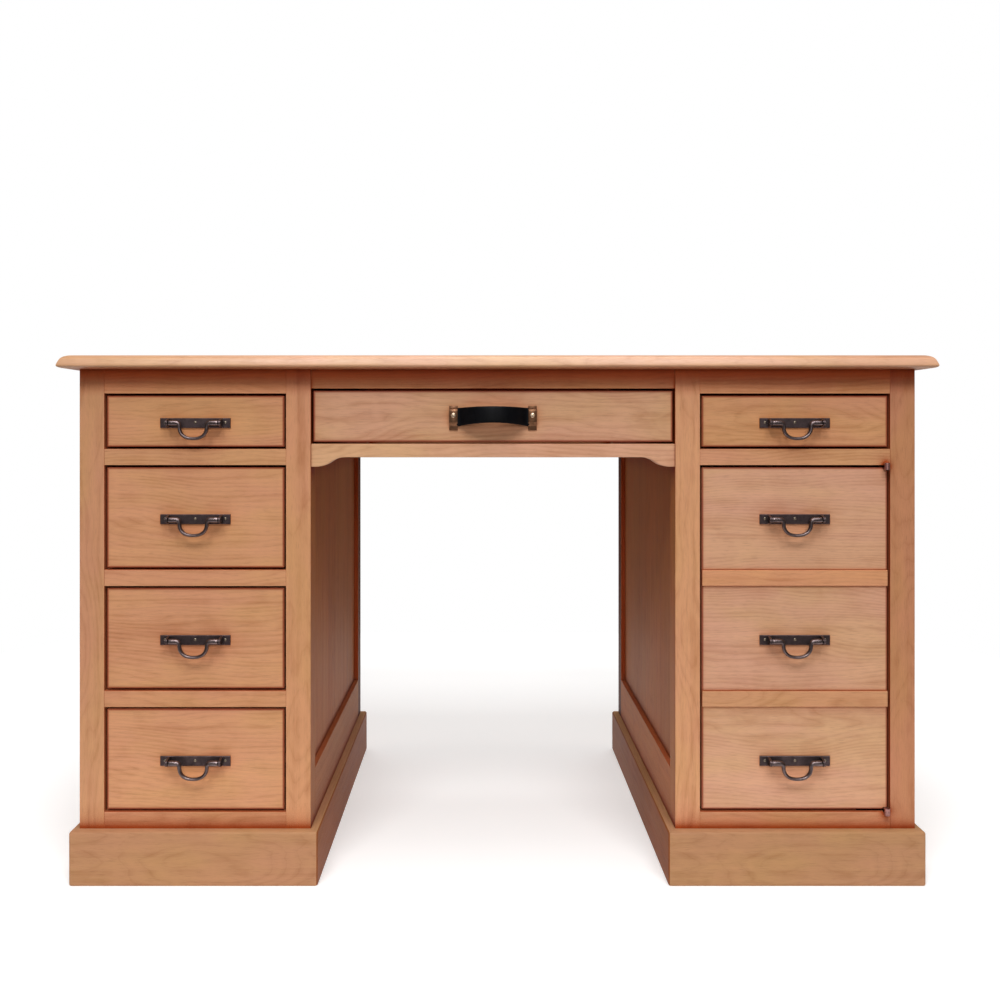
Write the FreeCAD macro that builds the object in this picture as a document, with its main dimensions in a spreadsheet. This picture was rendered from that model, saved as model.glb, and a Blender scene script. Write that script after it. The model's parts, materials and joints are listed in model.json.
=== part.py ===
"""Twin-pedestal kneehole desk in solid wood.

Two framed and panelled pedestals stand on bevelled plinths and carry a top with a moulded edge.
The left pedestal holds four drawers. The right one holds a drawer over a cupboard, whose door is
faced to look like three more drawers and turns on two pivot hinges. A wide drawer over a shaped
apron hangs between the pedestals. Every drawer is dovetailed and runs on wooden runners.

Millimetres. X runs to the right, Y to the back and Z up. The origin lies on the floor below the
middle of the top.
"""

import FreeCAD, Part
import os
import Sketcher

# The driving sizes: name, millimetres or a plain number, and what it measures.
SIZES = (
    # whole desk
    ("desk_height", 780, "floor to the upper face of the top"),
    ("top_width", 1286, "top, left to right"),
    ("top_depth", 656, "top, front to back"),
    ("top_thickness", 20, "top board"),
    ("top_overhang", 25, "top past the carcass, all round"),
    ("edge_slope_run", 15.5, "upper slope of the moulded edge, seen from above"),
    ("edge_slope_drop", 11.5, "upper slope of the moulded edge, downwards"),
    ("edge_slope_crown", 1.6, "how far the upper slope swells from its chord"),
    ("edge_under_run", 10, "rounded underside of the moulded edge, seen from above"),
    ("edge_under_crown", 1, "how far the rounded underside swells from its chord"),
    ("edge_nose_height", 7, "rounded nose between the slope and the underside"),
    ("edge_nose_crown", 1.2, "how far the nose swells from its chord"),
    # pedestal frames
    ("left_pedestal_width", 342, "left pedestal, over its posts"),
    ("right_pedestal_width", 354.5, "right pedestal, over its posts"),
    ("post_width", 36.5, "post, seen from the front"),
    ("post_depth", 40, "post, front to back"),
    ("frame_thickness", 22, "side and back rails"),
    ("panel_thickness", 8, "side and back panels"),
    ("panel_recess", 8, "panel behind the face of its frame"),
    ("panel_tongue", 8, "panel edge inside its groove"),
    ("tenon_length", 18, "tenon inside a post"),
    ("tenon_thickness", 8, "tenon"),
    ("tenon_shoulder", 6, "rail left above and below a tenon"),
    ("low_rail_foot", 40, "floor to the underside of the low rails"),
    ("low_rail_top", 157, "floor to the upper edge of the low side and back rails"),
    ("outer_rail_height", 74, "upper rails of the outer sides and backs"),
    # front rails and openings
    ("top_rail_height", 36, "front rail under the top, pedestals"),
    ("shallow_opening", 82, "height of the shallow drawer openings"),
    ("divider_height", 24, "rails between the drawers"),
    ("bottom_rail_show", 23, "bottom front rail above the plinth"),
    # plinth
    ("plinth_height", 82, "plinth, floor to the top of its bevel"),
    ("plinth_thickness", 12, "plinth boards"),
    ("plinth_bevel_drop", 5, "rounded bevel along the upper edge, downwards"),
    ("plinth_bevel_crown", 1.6, "how far the bevel swells from its chord"),
    ("plinth_bevel_land", 1, "flat left at the top of the bevel"),
    # centre section
    ("centre_rail_height", 28.5, "rail over the centre drawer"),
    ("centre_rail_depth", 22, "centre rail and aprons, front to back"),
    ("centre_setback", 2, "centre rail and apron behind the posts"),
    ("apron_height", 20, "front apron below the centre drawer"),
    ("bracket_drop", 14, "shaped end of the apron below its lower edge"),
    ("bracket_flat", 8, "flat foot of the shaped end"),
    ("bracket_curve", 42, "double curve of the shaped end, along the apron"),
    # runners, cleats and stops
    ("runner_height", 16, "bearing part of a runner"),
    ("runner_ledge", 14, "runner under a drawer side"),
    ("runner_guide", 12, "raised guide of a runner"),
    ("runner_side_clearance", 2, "runner off the side rails"),
    ("kicker_height", 20, "bars that stop a drawer tipping"),
    ("stop_length", 24, "drawer stop, front to back"),
    ("stop_height", 12, "drawer stop"),
    # drawers
    ("drawer_gap", 3.4, "round drawer fronts and door, top and sides"),
    ("drawer_gap_below", 3.2, "below drawer fronts"),
    ("front_recess", 2.5, "drawer fronts and false fronts behind the rails"),
    ("running_clearance", 0.3, "drawer side over its runner and before its stop"),
    ("drawer_rear_space", 73.5, "drawer ends before the rear faces of the posts"),
    ("front_thickness", 20, "drawer fronts"),
    ("side_thickness", 12, "drawer sides"),
    ("side_drop", 4, "drawer side below the top of its front"),
    ("back_thickness", 12, "drawer backs"),
    ("back_inset", 10, "drawer back from the ends of the sides"),
    ("back_drop", 5, "drawer back below the sides"),
    ("housing_depth", 5, "drawer back and bottom inside the sides"),
    ("bottom_thickness", 6, "drawer bottoms"),
    ("bottom_height", 10, "underside of a drawer bottom over the runner"),
    ("dovetail_lap", 7, "wood left before the tails in a drawer front"),
    ("tail_flare", 1.8, "how much wider a tail is at its tip, each side"),
    ("tail_root_share", 0.52, "width of a tail at its root, of the pitch"),
    ("shallow_tail_count", 2, "tails on each shallow drawer side"),
    ("deep_tail_count", 4, "tails on each deep drawer side"),
    # cupboard
    ("board_thickness", 16, "cupboard floor and shelf"),
    ("floor_housing", 6, "cupboard floor inside the side rails"),
    ("shelf_setback", 60, "front edge of the shelf behind the posts' faces"),
    ("shelf_rear_space", 44, "shelf before the posts' rear faces"),
    ("shelf_side_gap", 1, "shelf off the posts, each side"),
    ("cleat_height", 20, "bars under the shelf"),
    ("door_thickness", 20, "door leaf"),
    ("false_rail_housing", 4, "false rail let into the door leaf"),
    # pivot hinges
    ("pivot_inset", 3, "pivot inside the edge of the door"),
    ("pivot_stand", 4.7, "pivot before the posts' faces"),
    ("knuckle_radius", 4.2, "hinge knuckle"),
    ("knuckle_height", 5, "one hinge knuckle"),
    ("knuckle_play", 0.15, "each knuckle off the plane where the two meet"),
    ("hinge_pin_radius", 2, "hinge pin"),
    ("pin_clearance", 0.05, "round a hinge or bail pin"),
    ("hinge_pin_short", 0.5, "pin short of the far end of its bore"),
    ("leaf_thickness", 2, "hinge leaf"),
    ("leaf_length", 44, "hinge leaf along the door's edge"),
    ("leaf_width", 12, "hinge leaf, front to back"),
    ("leaf_neck_width", 7, "neck from leaf to knuckle"),
    ("leaf_setback", 6.5, "hinge leaf behind the posts' faces"),
    # bail handles
    ("handle_drop", 2.5, "bail pivot below the middle of a drawer front"),
    ("plate_width", 104, "back plate"),
    ("plate_height", 14.6, "back plate"),
    ("plate_thickness", 2.5, "back plate"),
    ("plate_bevel", 0.7, "bevel round the back plate's face"),
    ("ear_place", 37.4, "inner face of an ear from the middle of the plate"),
    ("ear_thickness", 3.2, "ear, along the pivot"),
    ("ear_radius", 4.5, "rounded end of an ear"),
    ("pivot_reach", 13, "bail pivot before the drawer front"),
    ("bail_pin_radius", 2, "pin of a bail"),
    ("bail_side_play", 0.3, "bail off each ear"),
    ("bail_outer_radius", 21.5, "outside of the bail's loop"),
    ("bail_drop", 25.5, "bail pivot to the lowest point of the loop"),
    ("bail_bar", 4.8, "bar at the foot of the loop, seen from the front"),
    ("bail_bar_above", 6, "bar at the sides of the loop, seen from the front"),
    ("bail_depth", 7.5, "bar of the loop, front to back"),
    ("shoulder_height", 8.4, "swollen shoulder of the bail beside an ear"),
    ("shoulder_inner", 21.5, "inner end of a shoulder from the middle"),
    # strap handle
    ("strap_span", 104.6, "strap between its clips"),
    ("strap_rise", 21, "strap before its ends, at the middle"),
    ("strap_tab", 11, "straight end of the strap under its clip"),
    ("strap_foot_radius", 14, "small curve where the strap leaves its clip"),
    ("strap_thickness", 4.6, "strap"),
    ("strap_height", 24, "strap at its ends"),
    ("strap_waist", 4, "how far the lower edge rises at the middle"),
    ("strap_crown", 3, "how far the upper edge rises at the middle"),
    ("strap_curve_half", 50, "half the length of those two curves"),
    ("clip_width", 12.5, "strap clip, left to right"),
    ("clip_height", 36, "strap clip, top to bottom"),
    ("clip_foot", 1.8, "feet of a strap clip"),
    ("clip_wall", 1.8, "wall of a strap clip over the strap"),
    ("clip_fit", 0.2, "strap inside its clip"),
    ("brass_screw_radius", 3.8, "head of a strap screw"),
    ("brass_screw_rise", 2.2, "head of a strap screw, before its clip"),
    ("brass_screw_shank", 2, "radius of a strap screw's shank"),
    ("brass_screw_length", 22, "strap screw behind its head"),
    ("screw_top_share", 0.7, "flat top of a strap screw's head, of its width"),
)

doc = FreeCAD.newDocument("kneehole_desk")
sheet = doc.addObject("Spreadsheet::Sheet", "Sizes")
for row, (alias, number, meaning) in enumerate(SIZES, start=1):
    sheet.set(f"A{row}", meaning)
    sheet.set(f"B{row}", str(number))
    sheet.setAlias(f"B{row}", alias)
doc.recompute()

nodes = {}  # node name to the document object that holds its solids


class Size:
    """A length worked out from the sheet: its text binds a property, its value starts a sketch."""

    def __init__(self, text, value):
        self.text = text
        self.value = value

    def joined(self, sign, first, second, value):
        return Size(f"({text_of(first)} {sign} {text_of(second)})", value)

    def __add__(self, other):
        return self.joined("+", self, other, self.value + value_of(other))

    def __radd__(self, other):
        return self.joined("+", other, self, value_of(other) + self.value)

    def __sub__(self, other):
        return self.joined("-", self, other, self.value - value_of(other))

    def __rsub__(self, other):
        return self.joined("-", other, self, value_of(other) - self.value)

    def __mul__(self, other):
        return self.joined("*", self, other, self.value * value_of(other))

    def __rmul__(self, other):
        return self.joined("*", other, self, value_of(other) * self.value)

    def __truediv__(self, other):
        return self.joined("/", self, other, self.value / value_of(other))

    def __neg__(self):
        return Size(f"(0 - {self.text})", -self.value)


def text_of(length):
    return length.text if isinstance(length, Size) else str(length)


def value_of(length):
    return length.value if isinstance(length, Size) else float(length)


class Named:
    """The sheet's sizes by name, each as a Size."""

    def __getattr__(self, alias):
        return Size(f"Sizes.{alias}", float(sheet.get(alias)))


s = Named()


# Boards, groups and cuts


def bind(thing, prop, length):
    """Ties a property to the sheet."""
    thing.setExpression(prop, text_of(length))


def place(thing, x=0, y=0, z=0):
    """Ties a thing's position to the sheet."""
    for axis, length in (("x", x), ("y", y), ("z", z)):
        bind(thing, f"Placement.Base.{axis}", length)
    return thing


def box(name, x, y, z):
    """A square-edged board. Each of x, y and z is (start, length)."""
    board = doc.addObject("Part::Box", name)
    for prop, (_, length) in (("Length", x), ("Width", y), ("Height", z)):
        bind(board, prop, length)
    return place(board, x[0], y[0], z[0])


def cylinder(name, radius, length, along, x, y, z):
    """A round bar from (x, y, z), along X, Y or Z."""
    bar = doc.addObject("Part::Cylinder", name)
    turn = {
        "x": FreeCAD.Rotation(FreeCAD.Vector(0, 1, 0), 90),
        "y": FreeCAD.Rotation(FreeCAD.Vector(1, 0, 0), -90),
        "z": FreeCAD.Rotation(),
    }[along]
    bar.Placement = FreeCAD.Placement(FreeCAD.Vector(), turn)
    bind(bar, "Radius", radius)
    bind(bar, "Height", length)
    return place(bar, x, y, z)


def group(name, things):
    """Several solids as one thing."""
    made = doc.addObject("Part::Compound", name)
    made.Links = things
    return made


def fuse(name, things):
    """One solid from several that touch or overlap."""
    made = doc.addObject("Part::MultiFuse", name)
    made.Shapes = things
    made.Refine = True
    return made


def cut(name, base, tools):
    """A piece with the room that its neighbours need taken out, so that they seat in it."""
    made = doc.addObject("Part::Cut", name)
    made.Base = base
    made.Tool = tools[0] if len(tools) == 1 else group(name + "_neighbours", tools)
    made.Refine = True
    return made


def node(name, thing):
    """Makes a thing a sub-part under its own name."""
    thing.Label = name
    nodes[name] = thing
    return thing


# Bodies with sketches


def new_body(name):
    return doc.addObject("PartDesign::Body", name)


def new_sketch(body, plane, name, offset=0):
    """A sketch on one of the body's own planes, moved along the plane's normal by offset."""
    sketch = body.newObject("Sketcher::SketchObject", name)
    support = [f for f in body.Origin.OriginFeatures if f.Role == plane][0]
    sketch.AttachmentSupport = (support, [""])
    sketch.MapMode = "FlatFace"
    bind(sketch, "AttachmentOffset.Base.z", offset)
    return sketch


def outline(sketch, corners, bulges=None):
    """Draws a closed outline. Each corner is (across, up), fixed from the sketch's origin.

    bulges gives, for some edges, how far the edge swells to its right as an arc, by the edge's
    first corner. A negative swell goes to the left.
    """
    bulges = bulges or {}
    points = [FreeCAD.Vector(value_of(a), value_of(b), 0) for a, b in corners]
    edges = []
    for i, start in enumerate(points):
        end = points[(i + 1) % len(points)]
        if i in bulges:
            chord = end - start
            right = FreeCAD.Vector(chord.y, -chord.x, 0).normalize()
            middle = (start + end) * 0.5 + right * value_of(bulges[i])
            edges.append(sketch.addGeometry(Part.Arc(start, middle, end)))
        else:
            edges.append(sketch.addGeometry(Part.LineSegment(start, end)))
    # An arc keeps its ends in the order of its angles, so the end at a corner is looked up.
    ends = []
    for i, edge in enumerate(edges):
        first_is_start = (sketch.getPoint(edge, 1) - points[i]).Length < (
            sketch.getPoint(edge, 2) - points[i]
        ).Length
        ends.append((1, 2) if first_is_start else (2, 1))
    for i, (across, up) in enumerate(corners):
        before = (i - 1) % len(corners)
        sketch.addConstraint(
            Sketcher.Constraint("Coincident", edges[before], ends[before][1], edges[i], ends[i][0])
        )
        for kind, length in (("DistanceX", across), ("DistanceY", up)):
            value = value_of(length)
            if value == 0 and not isinstance(length, Size):
                link = Sketcher.Constraint(
                    "PointOnObject", edges[i], ends[i][0], -2 if kind == "DistanceX" else -1
                )
                sketch.addConstraint(link)
            else:
                which = sketch.addConstraint(
                    Sketcher.Constraint(kind, -1, 1, edges[i], ends[i][0], value)
                )
                bind(sketch, f"Constraints[{which}]", length)
    for i, swell in bulges.items():
        start, end = corners[i], corners[(i + 1) % len(corners)]
        run, climb = end[0] - start[0], end[1] - start[1]
        height = swell if value_of(swell) > 0 else -swell
        radius = (run * run / 4 + climb * climb / 4 + height * height) / (2 * height)
        if value_of(height) > 0.25 * abs(value_of(run) + value_of(climb)):
            hold_centre(sketch, edges[i], start, run, climb, swell, radius)
            continue
        which = sketch.addConstraint(Sketcher.Constraint("Radius", edges[i], value_of(radius)))
        bind(sketch, f"Constraints[{which}]", radius)


def hold_centre(sketch, arc, start, run, climb, swell, radius):
    """Fixes a deep arc over a level or upright chord by the place of its centre."""
    level = value_of(climb) == 0
    forward = value_of(run if level else climb) > 0
    side = -1 if forward == level else 1
    centre = start[1 if level else 0] + side * (
        swell - radius if value_of(swell) > 0 else swell + radius
    )
    if abs(value_of(centre)) < 1e-9:
        axis = -1 if level else -2
        sketch.addConstraint(Sketcher.Constraint("PointOnObject", arc, 3, axis))
        return
    kind = "DistanceY" if level else "DistanceX"
    which = sketch.addConstraint(Sketcher.Constraint(kind, -1, 1, arc, 3, value_of(centre)))
    bind(sketch, f"Constraints[{which}]", centre)


def circle(sketch, across, up, radius):
    """Adds a circle, such as a bore inside an outline."""
    centre = FreeCAD.Vector(value_of(across), value_of(up), 0)
    ring = sketch.addGeometry(Part.Circle(centre, FreeCAD.Vector(0, 0, 1), value_of(radius)))
    for kind, length in (("DistanceX", across), ("DistanceY", up)):
        which = sketch.addConstraint(
            Sketcher.Constraint(kind, -1, 1, ring, 3, value_of(length))
        )
        bind(sketch, f"Constraints[{which}]", length)
    which = sketch.addConstraint(Sketcher.Constraint("Radius", ring, value_of(radius)))
    bind(sketch, f"Constraints[{which}]", radius)


def pad(body, sketch, length, both_ways=False, backwards=False):
    """Raises a sketch into a solid."""
    raised = body.newObject("PartDesign::Pad", sketch.Name + "_pad")
    raised.Profile = sketch
    raised.Midplane = both_ways
    raised.Reversed = backwards
    bind(raised, "Length", length)
    sketch.Visibility = False
    return raised


def pocket(body, sketch, length, both_ways=False, backwards=False):
    """Sinks a sketch into a solid."""
    sunk = body.newObject("PartDesign::Pocket", sketch.Name + "_pocket")
    sunk.Profile = sketch
    sunk.Midplane = both_ways
    sunk.Reversed = backwards
    bind(sunk, "Length", length)
    sketch.Visibility = False
    return sunk


# Places that several pieces share

carcass_half = s.top_width / 2 - s.top_overhang
front = s.top_overhang - s.top_depth / 2
rear = s.top_depth / 2 - s.top_overhang
carcass_top = s.desk_height - s.top_thickness
kneehole_left = s.left_pedestal_width - carcass_half
kneehole_right = carcass_half - s.right_pedestal_width
kneehole_width = kneehole_right - kneehole_left

top_rail_under = carcass_top - s.top_rail_height
shallow_floor = top_rail_under - s.shallow_opening
deep_ceiling = shallow_floor - s.divider_height
bottom_rail_top = s.plinth_height + s.bottom_rail_show
deep_opening = (deep_ceiling - bottom_rail_top - 2 * s.divider_height) / 3
deep_pitch = deep_opening + s.divider_height
deep_floors = [deep_ceiling - deep_opening - i * deep_pitch for i in range(3)]

centre_ceiling = carcass_top - s.centre_rail_height
centre_floor = centre_ceiling - s.shallow_opening
apron_under = centre_floor - s.apron_height

post_back = front + s.post_depth  # rear face of the front posts
post_front = rear - s.post_depth  # front face of the rear posts
bay_length = post_front - post_back
drawer_face = front + s.front_recess
centre_face = drawer_face + s.centre_setback
drawer_end = rear - s.drawer_rear_space


# Top


def make_desktop():
    """A board whose edge has the same moulding on all four sides, mitred at the corners."""

    def section(name, plane, width, run_length):
        body = new_body(name)
        sketch = new_sketch(body, plane, name + "_section")
        half = width / 2
        nose = s.desk_height - s.edge_slope_drop
        nose_top = nose + s.edge_nose_height / 2
        nose_foot = nose - s.edge_nose_height / 2
        right_half = [
            (half - s.edge_slope_run, s.desk_height),
            (half - s.edge_nose_crown, nose_top),
            (half - s.edge_nose_crown, nose_foot),
            (half - s.edge_under_run, carcass_top),
        ]
        corners = right_half + [(-x, z) for x, z in reversed(right_half)]
        swells = {i: -crown for i, crown in (
            (0, s.edge_slope_crown),
            (1, s.edge_nose_crown),
            (2, s.edge_under_crown),
            (4, s.edge_under_crown),
            (5, s.edge_nose_crown),
            (6, s.edge_slope_crown),
        )}
        outline(sketch, corners, swells)
        pad(body, sketch, run_length, both_ways=True)
        return body

    board = doc.addObject("Part::Common", "Desktop")
    board.Base = section("DesktopLong", "XZ_Plane", s.top_width, s.top_depth)
    board.Tool = section("DesktopCross", "YZ_Plane", s.top_depth, s.top_width)
    node("desktop", board)


# Pedestals


def tenoned_rail(name, run, x, y, z):
    """A rail between two posts. A thinner bar through its middle stands out as its tenons."""
    middle = {
        "x": lambda: (
            (x[0] - s.tenon_length, x[1] + 2 * s.tenon_length),
            (y[0] + y[1] / 2 - s.tenon_thickness / 2, s.tenon_thickness),
        ),
        "y": lambda: (
            (x[0] + x[1] / 2 - s.tenon_thickness / 2, s.tenon_thickness),
            (y[0] - s.tenon_length, y[1] + 2 * s.tenon_length),
        ),
    }[run]()
    rise = (z[0] + s.tenon_shoulder, z[1] - 2 * s.tenon_shoulder)
    return fuse(name, [box(name + "_face", x, y, z), box(name + "_tenons", *middle, rise)])


def make_plinth(name, left, width):
    """Four bevelled boards round the foot of a pedestal, mitred at the corners."""

    def board(tag, length, turn, x, y):
        body = new_body(f"{name}_{tag}")
        plan = new_sketch(body, "XY_Plane", body.Name + "_plan")
        half = length / 2
        t = s.plinth_thickness
        outline(plan, [(-half - t, -t), (half + t, -t), (half, 0), (-half, 0)])
        pad(body, plan, s.plinth_height)
        bevel = new_sketch(body, "YZ_Plane", body.Name + "_bevel")
        outline(
            bevel,
            [
                (-t, s.plinth_height - s.plinth_bevel_drop),
                (-s.plinth_bevel_land, s.plinth_height),
                (-t, s.plinth_height),
            ],
            {0: -s.plinth_bevel_crown},
        )
        pocket(body, bevel, length + 4 * t, both_ways=True)
        body.Placement = FreeCAD.Placement(
            FreeCAD.Vector(), FreeCAD.Rotation(FreeCAD.Vector(0, 0, 1), turn)
        )
        return place(body, x, y)

    depth = rear - front
    middle_x = left + width / 2
    boards = [
        board("front", width, 0, middle_x, front),
        board("rear", width, 180, middle_x, rear),
        board("left", depth, -90, left, 0),
        board("right", depth, 90, left + width, 0),
    ]
    node(name, group(name + "_boards", boards))


def runner(name, post_face, into, floor):
    """A bearer that a drawer side slides on, and a guide strip on it beside the side.

    post_face is the inner face of the posts, and into is 1 where the opening lies towards +X.
    """
    width = s.post_width - s.frame_thickness - s.runner_side_clearance
    guide_x = post_face - width if into > 0 else post_face
    return [
        bar_between_posts(
            f"{name}_bearer", post_face, into, (floor - s.runner_height, s.runner_height)
        ),
        box(f"{name}_guide", (guide_x, width), (post_back, bay_length), (floor, s.runner_guide)),
    ]


def bar_between_posts(name, post_face, into, z):
    """A plain bar that reaches as far in as a runner's ledge, such as a kicker or a cleat."""
    outer = s.post_width - s.frame_thickness - s.runner_side_clearance
    width = outer + s.runner_ledge
    start = post_face - outer if into > 0 else post_face - s.runner_ledge
    return box(name, (start, width), (post_back, bay_length), z)


def stop(name, post_face, into, floor):
    """A block on a runner's ledge that a drawer side meets when the drawer is shut."""
    start = post_face if into > 0 else post_face - s.runner_ledge
    return box(
        name,
        (start, s.runner_ledge),
        (drawer_end + s.running_clearance, s.stop_length),
        (floor, s.stop_height),
    )


def make_pedestal(side, left, width, floors, inner_is_right, let_in=()):
    """Posts, rails, panels, front rails, runners and plinth of one pedestal.

    floors holds the drawer openings' lower edges, from the top down. let_in holds further
    pieces that are let into the frame, such as the cupboard floor and the hinge leaves.
    """
    right = left + width
    inside_left = left + s.post_width
    inside_width = width - 2 * s.post_width

    # Panels first: rails and posts are then grooved for them.
    inner_rail_under = apron_under
    outer_rail_under = carcass_top - s.outer_rail_height
    tongue = s.panel_tongue
    panel_foot = s.low_rail_top - tongue

    def side_panel(tag, x, ceiling):
        return box(
            f"{side}_panel_{tag}",
            (x, s.panel_thickness),
            (post_back - tongue, bay_length + 2 * tongue),
            (panel_foot, ceiling + tongue - panel_foot),
        )

    left_ceiling, right_ceiling = (
        (outer_rail_under, inner_rail_under)
        if inner_is_right
        else (inner_rail_under, outer_rail_under)
    )
    panels = [
        side_panel("left", left + s.panel_recess, left_ceiling),
        side_panel("right", right - s.panel_recess - s.panel_thickness, right_ceiling),
        box(
            f"{side}_panel_back",
            (inside_left - tongue, inside_width + 2 * tongue),
            (rear - s.panel_recess - s.panel_thickness, s.panel_thickness),
            (panel_foot, outer_rail_under + tongue - panel_foot),
        ),
    ]
    node(f"{side}_panels", group(f"{side}_panel_set", panels))

    # Low and high rails of both sides and of the back.
    low = (s.low_rail_foot, s.low_rail_top - s.low_rail_foot)
    rails = []
    for tag, x, ceiling in (
        ("left", left, left_ceiling),
        ("right", right - s.frame_thickness, right_ceiling),
    ):
        for level, z in (("low", low), ("high", (ceiling, carcass_top - ceiling))):
            rails.append(
                tenoned_rail(
                    f"{side}_{tag}_{level}_rail",
                    "y",
                    (x, s.frame_thickness),
                    (post_back, bay_length),
                    z,
                )
            )
    for level, z in (("low", low), ("high", (outer_rail_under, s.outer_rail_height))):
        rails.append(
            tenoned_rail(
                f"{side}_back_{level}_rail",
                "x",
                (inside_left, inside_width),
                (rear - s.frame_thickness, s.frame_thickness),
                z,
            )
        )
    frame_rails = node(
        f"{side}_frame_rails",
        cut(f"{side}_grooved_rails", group(f"{side}_rail_set", rails), panels + list(let_in)),
    )

    # Front rails: one under the top, one below each drawer, and one above the plinth.
    spans = [(top_rail_under, s.top_rail_height)]
    spans += [(floor - s.divider_height, s.divider_height) for floor in floors]
    spans += [(s.low_rail_foot, bottom_rail_top - s.low_rail_foot)]
    front_rails = [
        tenoned_rail(
            f"{side}_front_rail_{i}",
            "x",
            (inside_left, inside_width),
            (front, s.post_depth),
            span,
        )
        for i, span in enumerate(spans, start=1)
    ]
    front_set = group(f"{side}_front_rail_set", front_rails)
    if let_in:
        front_set = cut(f"{side}_housed_front_rails", front_set, list(let_in))
    node(f"{side}_front_rails", front_set)

    # Posts to the floor, mortised for every rail and grooved for the panels.
    corners = [
        (x, y) for x in (left, right - s.post_width) for y in (front, post_front)
    ]
    posts = [
        box(f"{side}_post_{i}", (x, s.post_width), (y, s.post_depth), (0, carcass_top))
        for i, (x, y) in enumerate(corners, start=1)
    ]
    node(
        f"{side}_posts",
        cut(
            f"{side}_mortised_posts",
            group(f"{side}_post_set", posts),
            [frame_rails, front_set] + panels,
        ),
    )

    # Runners and stops below each drawer, and kickers over the top one.
    faces = ((inside_left, 1), (inside_left + inside_width, -1))
    running = list(floors) + ([bottom_rail_top] if side == "left" else [])
    bars = []
    for i, floor in enumerate(running, start=1):
        for face, into in faces:
            tag = f"{side}_{i}_{'left' if into > 0 else 'right'}"
            bars += runner(f"runner_{tag}", face, into, floor)
            bars.append(stop(f"stop_{tag}", face, into, floor))
    bars += [
        bar_between_posts(
            f"{side}_kicker_{'left' if into > 0 else 'right'}",
            face,
            into,
            (top_rail_under, s.kicker_height),
        )
        for face, into in faces
    ]
    node(f"{side}_runners", group(f"{side}_runner_set", bars))
    make_plinth(f"{side}_plinth", left, width)


# Centre section


def make_centre():
    """Rail, shaped aprons, runners and kickers between the pedestals."""
    half = kneehole_width / 2
    front_y = front + s.centre_setback
    rear_y = rear - s.centre_setback - s.centre_rail_depth
    node(
        "centre_top_rail",
        box(
            "CentreTopRail",
            (kneehole_left, kneehole_width),
            (front_y, s.centre_rail_depth),
            (centre_ceiling, s.centre_rail_height),
        ),
    )

    def apron(name, ceiling, y):
        """A board whose lower edge drops at both ends in a double curve with level ends."""
        body = new_body(name)
        sketch = new_sketch(body, "XZ_Plane", name + "_face")
        foot = apron_under - s.bracket_drop
        half_way = apron_under - s.bracket_drop / 2
        flat_end = half - s.bracket_flat
        curve_middle = flat_end - s.bracket_curve / 2
        curve_end = flat_end - s.bracket_curve
        right_half = [
            (curve_end, apron_under),
            (curve_middle, half_way),
            (flat_end, foot),
            (half, foot),
            (half, ceiling),
        ]
        left_half = [(-x, z) for x, z in reversed(right_half)]
        # A double curve of two equal arcs swells from each chord by this much.
        chord_squared = (s.bracket_curve * s.bracket_curve + s.bracket_drop * s.bracket_drop) / 4
        radius = chord_squared / s.bracket_drop
        swell = radius - apothem(radius, chord_squared)
        outline(
            sketch,
            right_half + left_half,
            {0: -swell, 1: swell, 7: swell, 8: -swell},
        )
        pad(body, sketch, s.centre_rail_depth, backwards=True)
        return place(body, kneehole_left + half, y)

    node("front_apron", apron("FrontApron", centre_floor, front_y))
    node("rear_apron", apron("RearApron", carcass_top, rear_y))

    start = front_y + s.centre_rail_depth
    length = rear_y - start
    width = s.frame_thickness
    bars = []
    for tag, x in (("left", kneehole_left), ("right", kneehole_right - width)):
        for kind, z in (
            ("runner", (centre_floor - s.runner_height, s.runner_height)),
            ("kicker", (centre_ceiling, s.kicker_height)),
        ):
            bars.append(box(f"centre_{kind}_{tag}", (x, width), (start, length), z))
    bars += [
        stop(f"centre_stop_{i}", side, into, centre_floor)
        for i, (side, into) in enumerate(((kneehole_left, 1), (kneehole_right, -1)), start=1)
    ]
    node("centre_runners", group("CentreRunners", bars))


def root_of(length):
    """The square root of a Size."""
    return Size(f"sqrt({text_of(length)})", value_of(length) ** 0.5)


def apothem(radius, chord_squared):
    """How far a chord lies from the centre of its circle."""
    return root_of(radius * radius - chord_squared / 4)


# Drawers


def middle_of_front(left, width, floor, height):
    """Where the middle of a drawer front lies in its opening, across and up."""
    return left + width / 2, floor + (height + s.drawer_gap_below - s.drawer_gap) / 2


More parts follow.
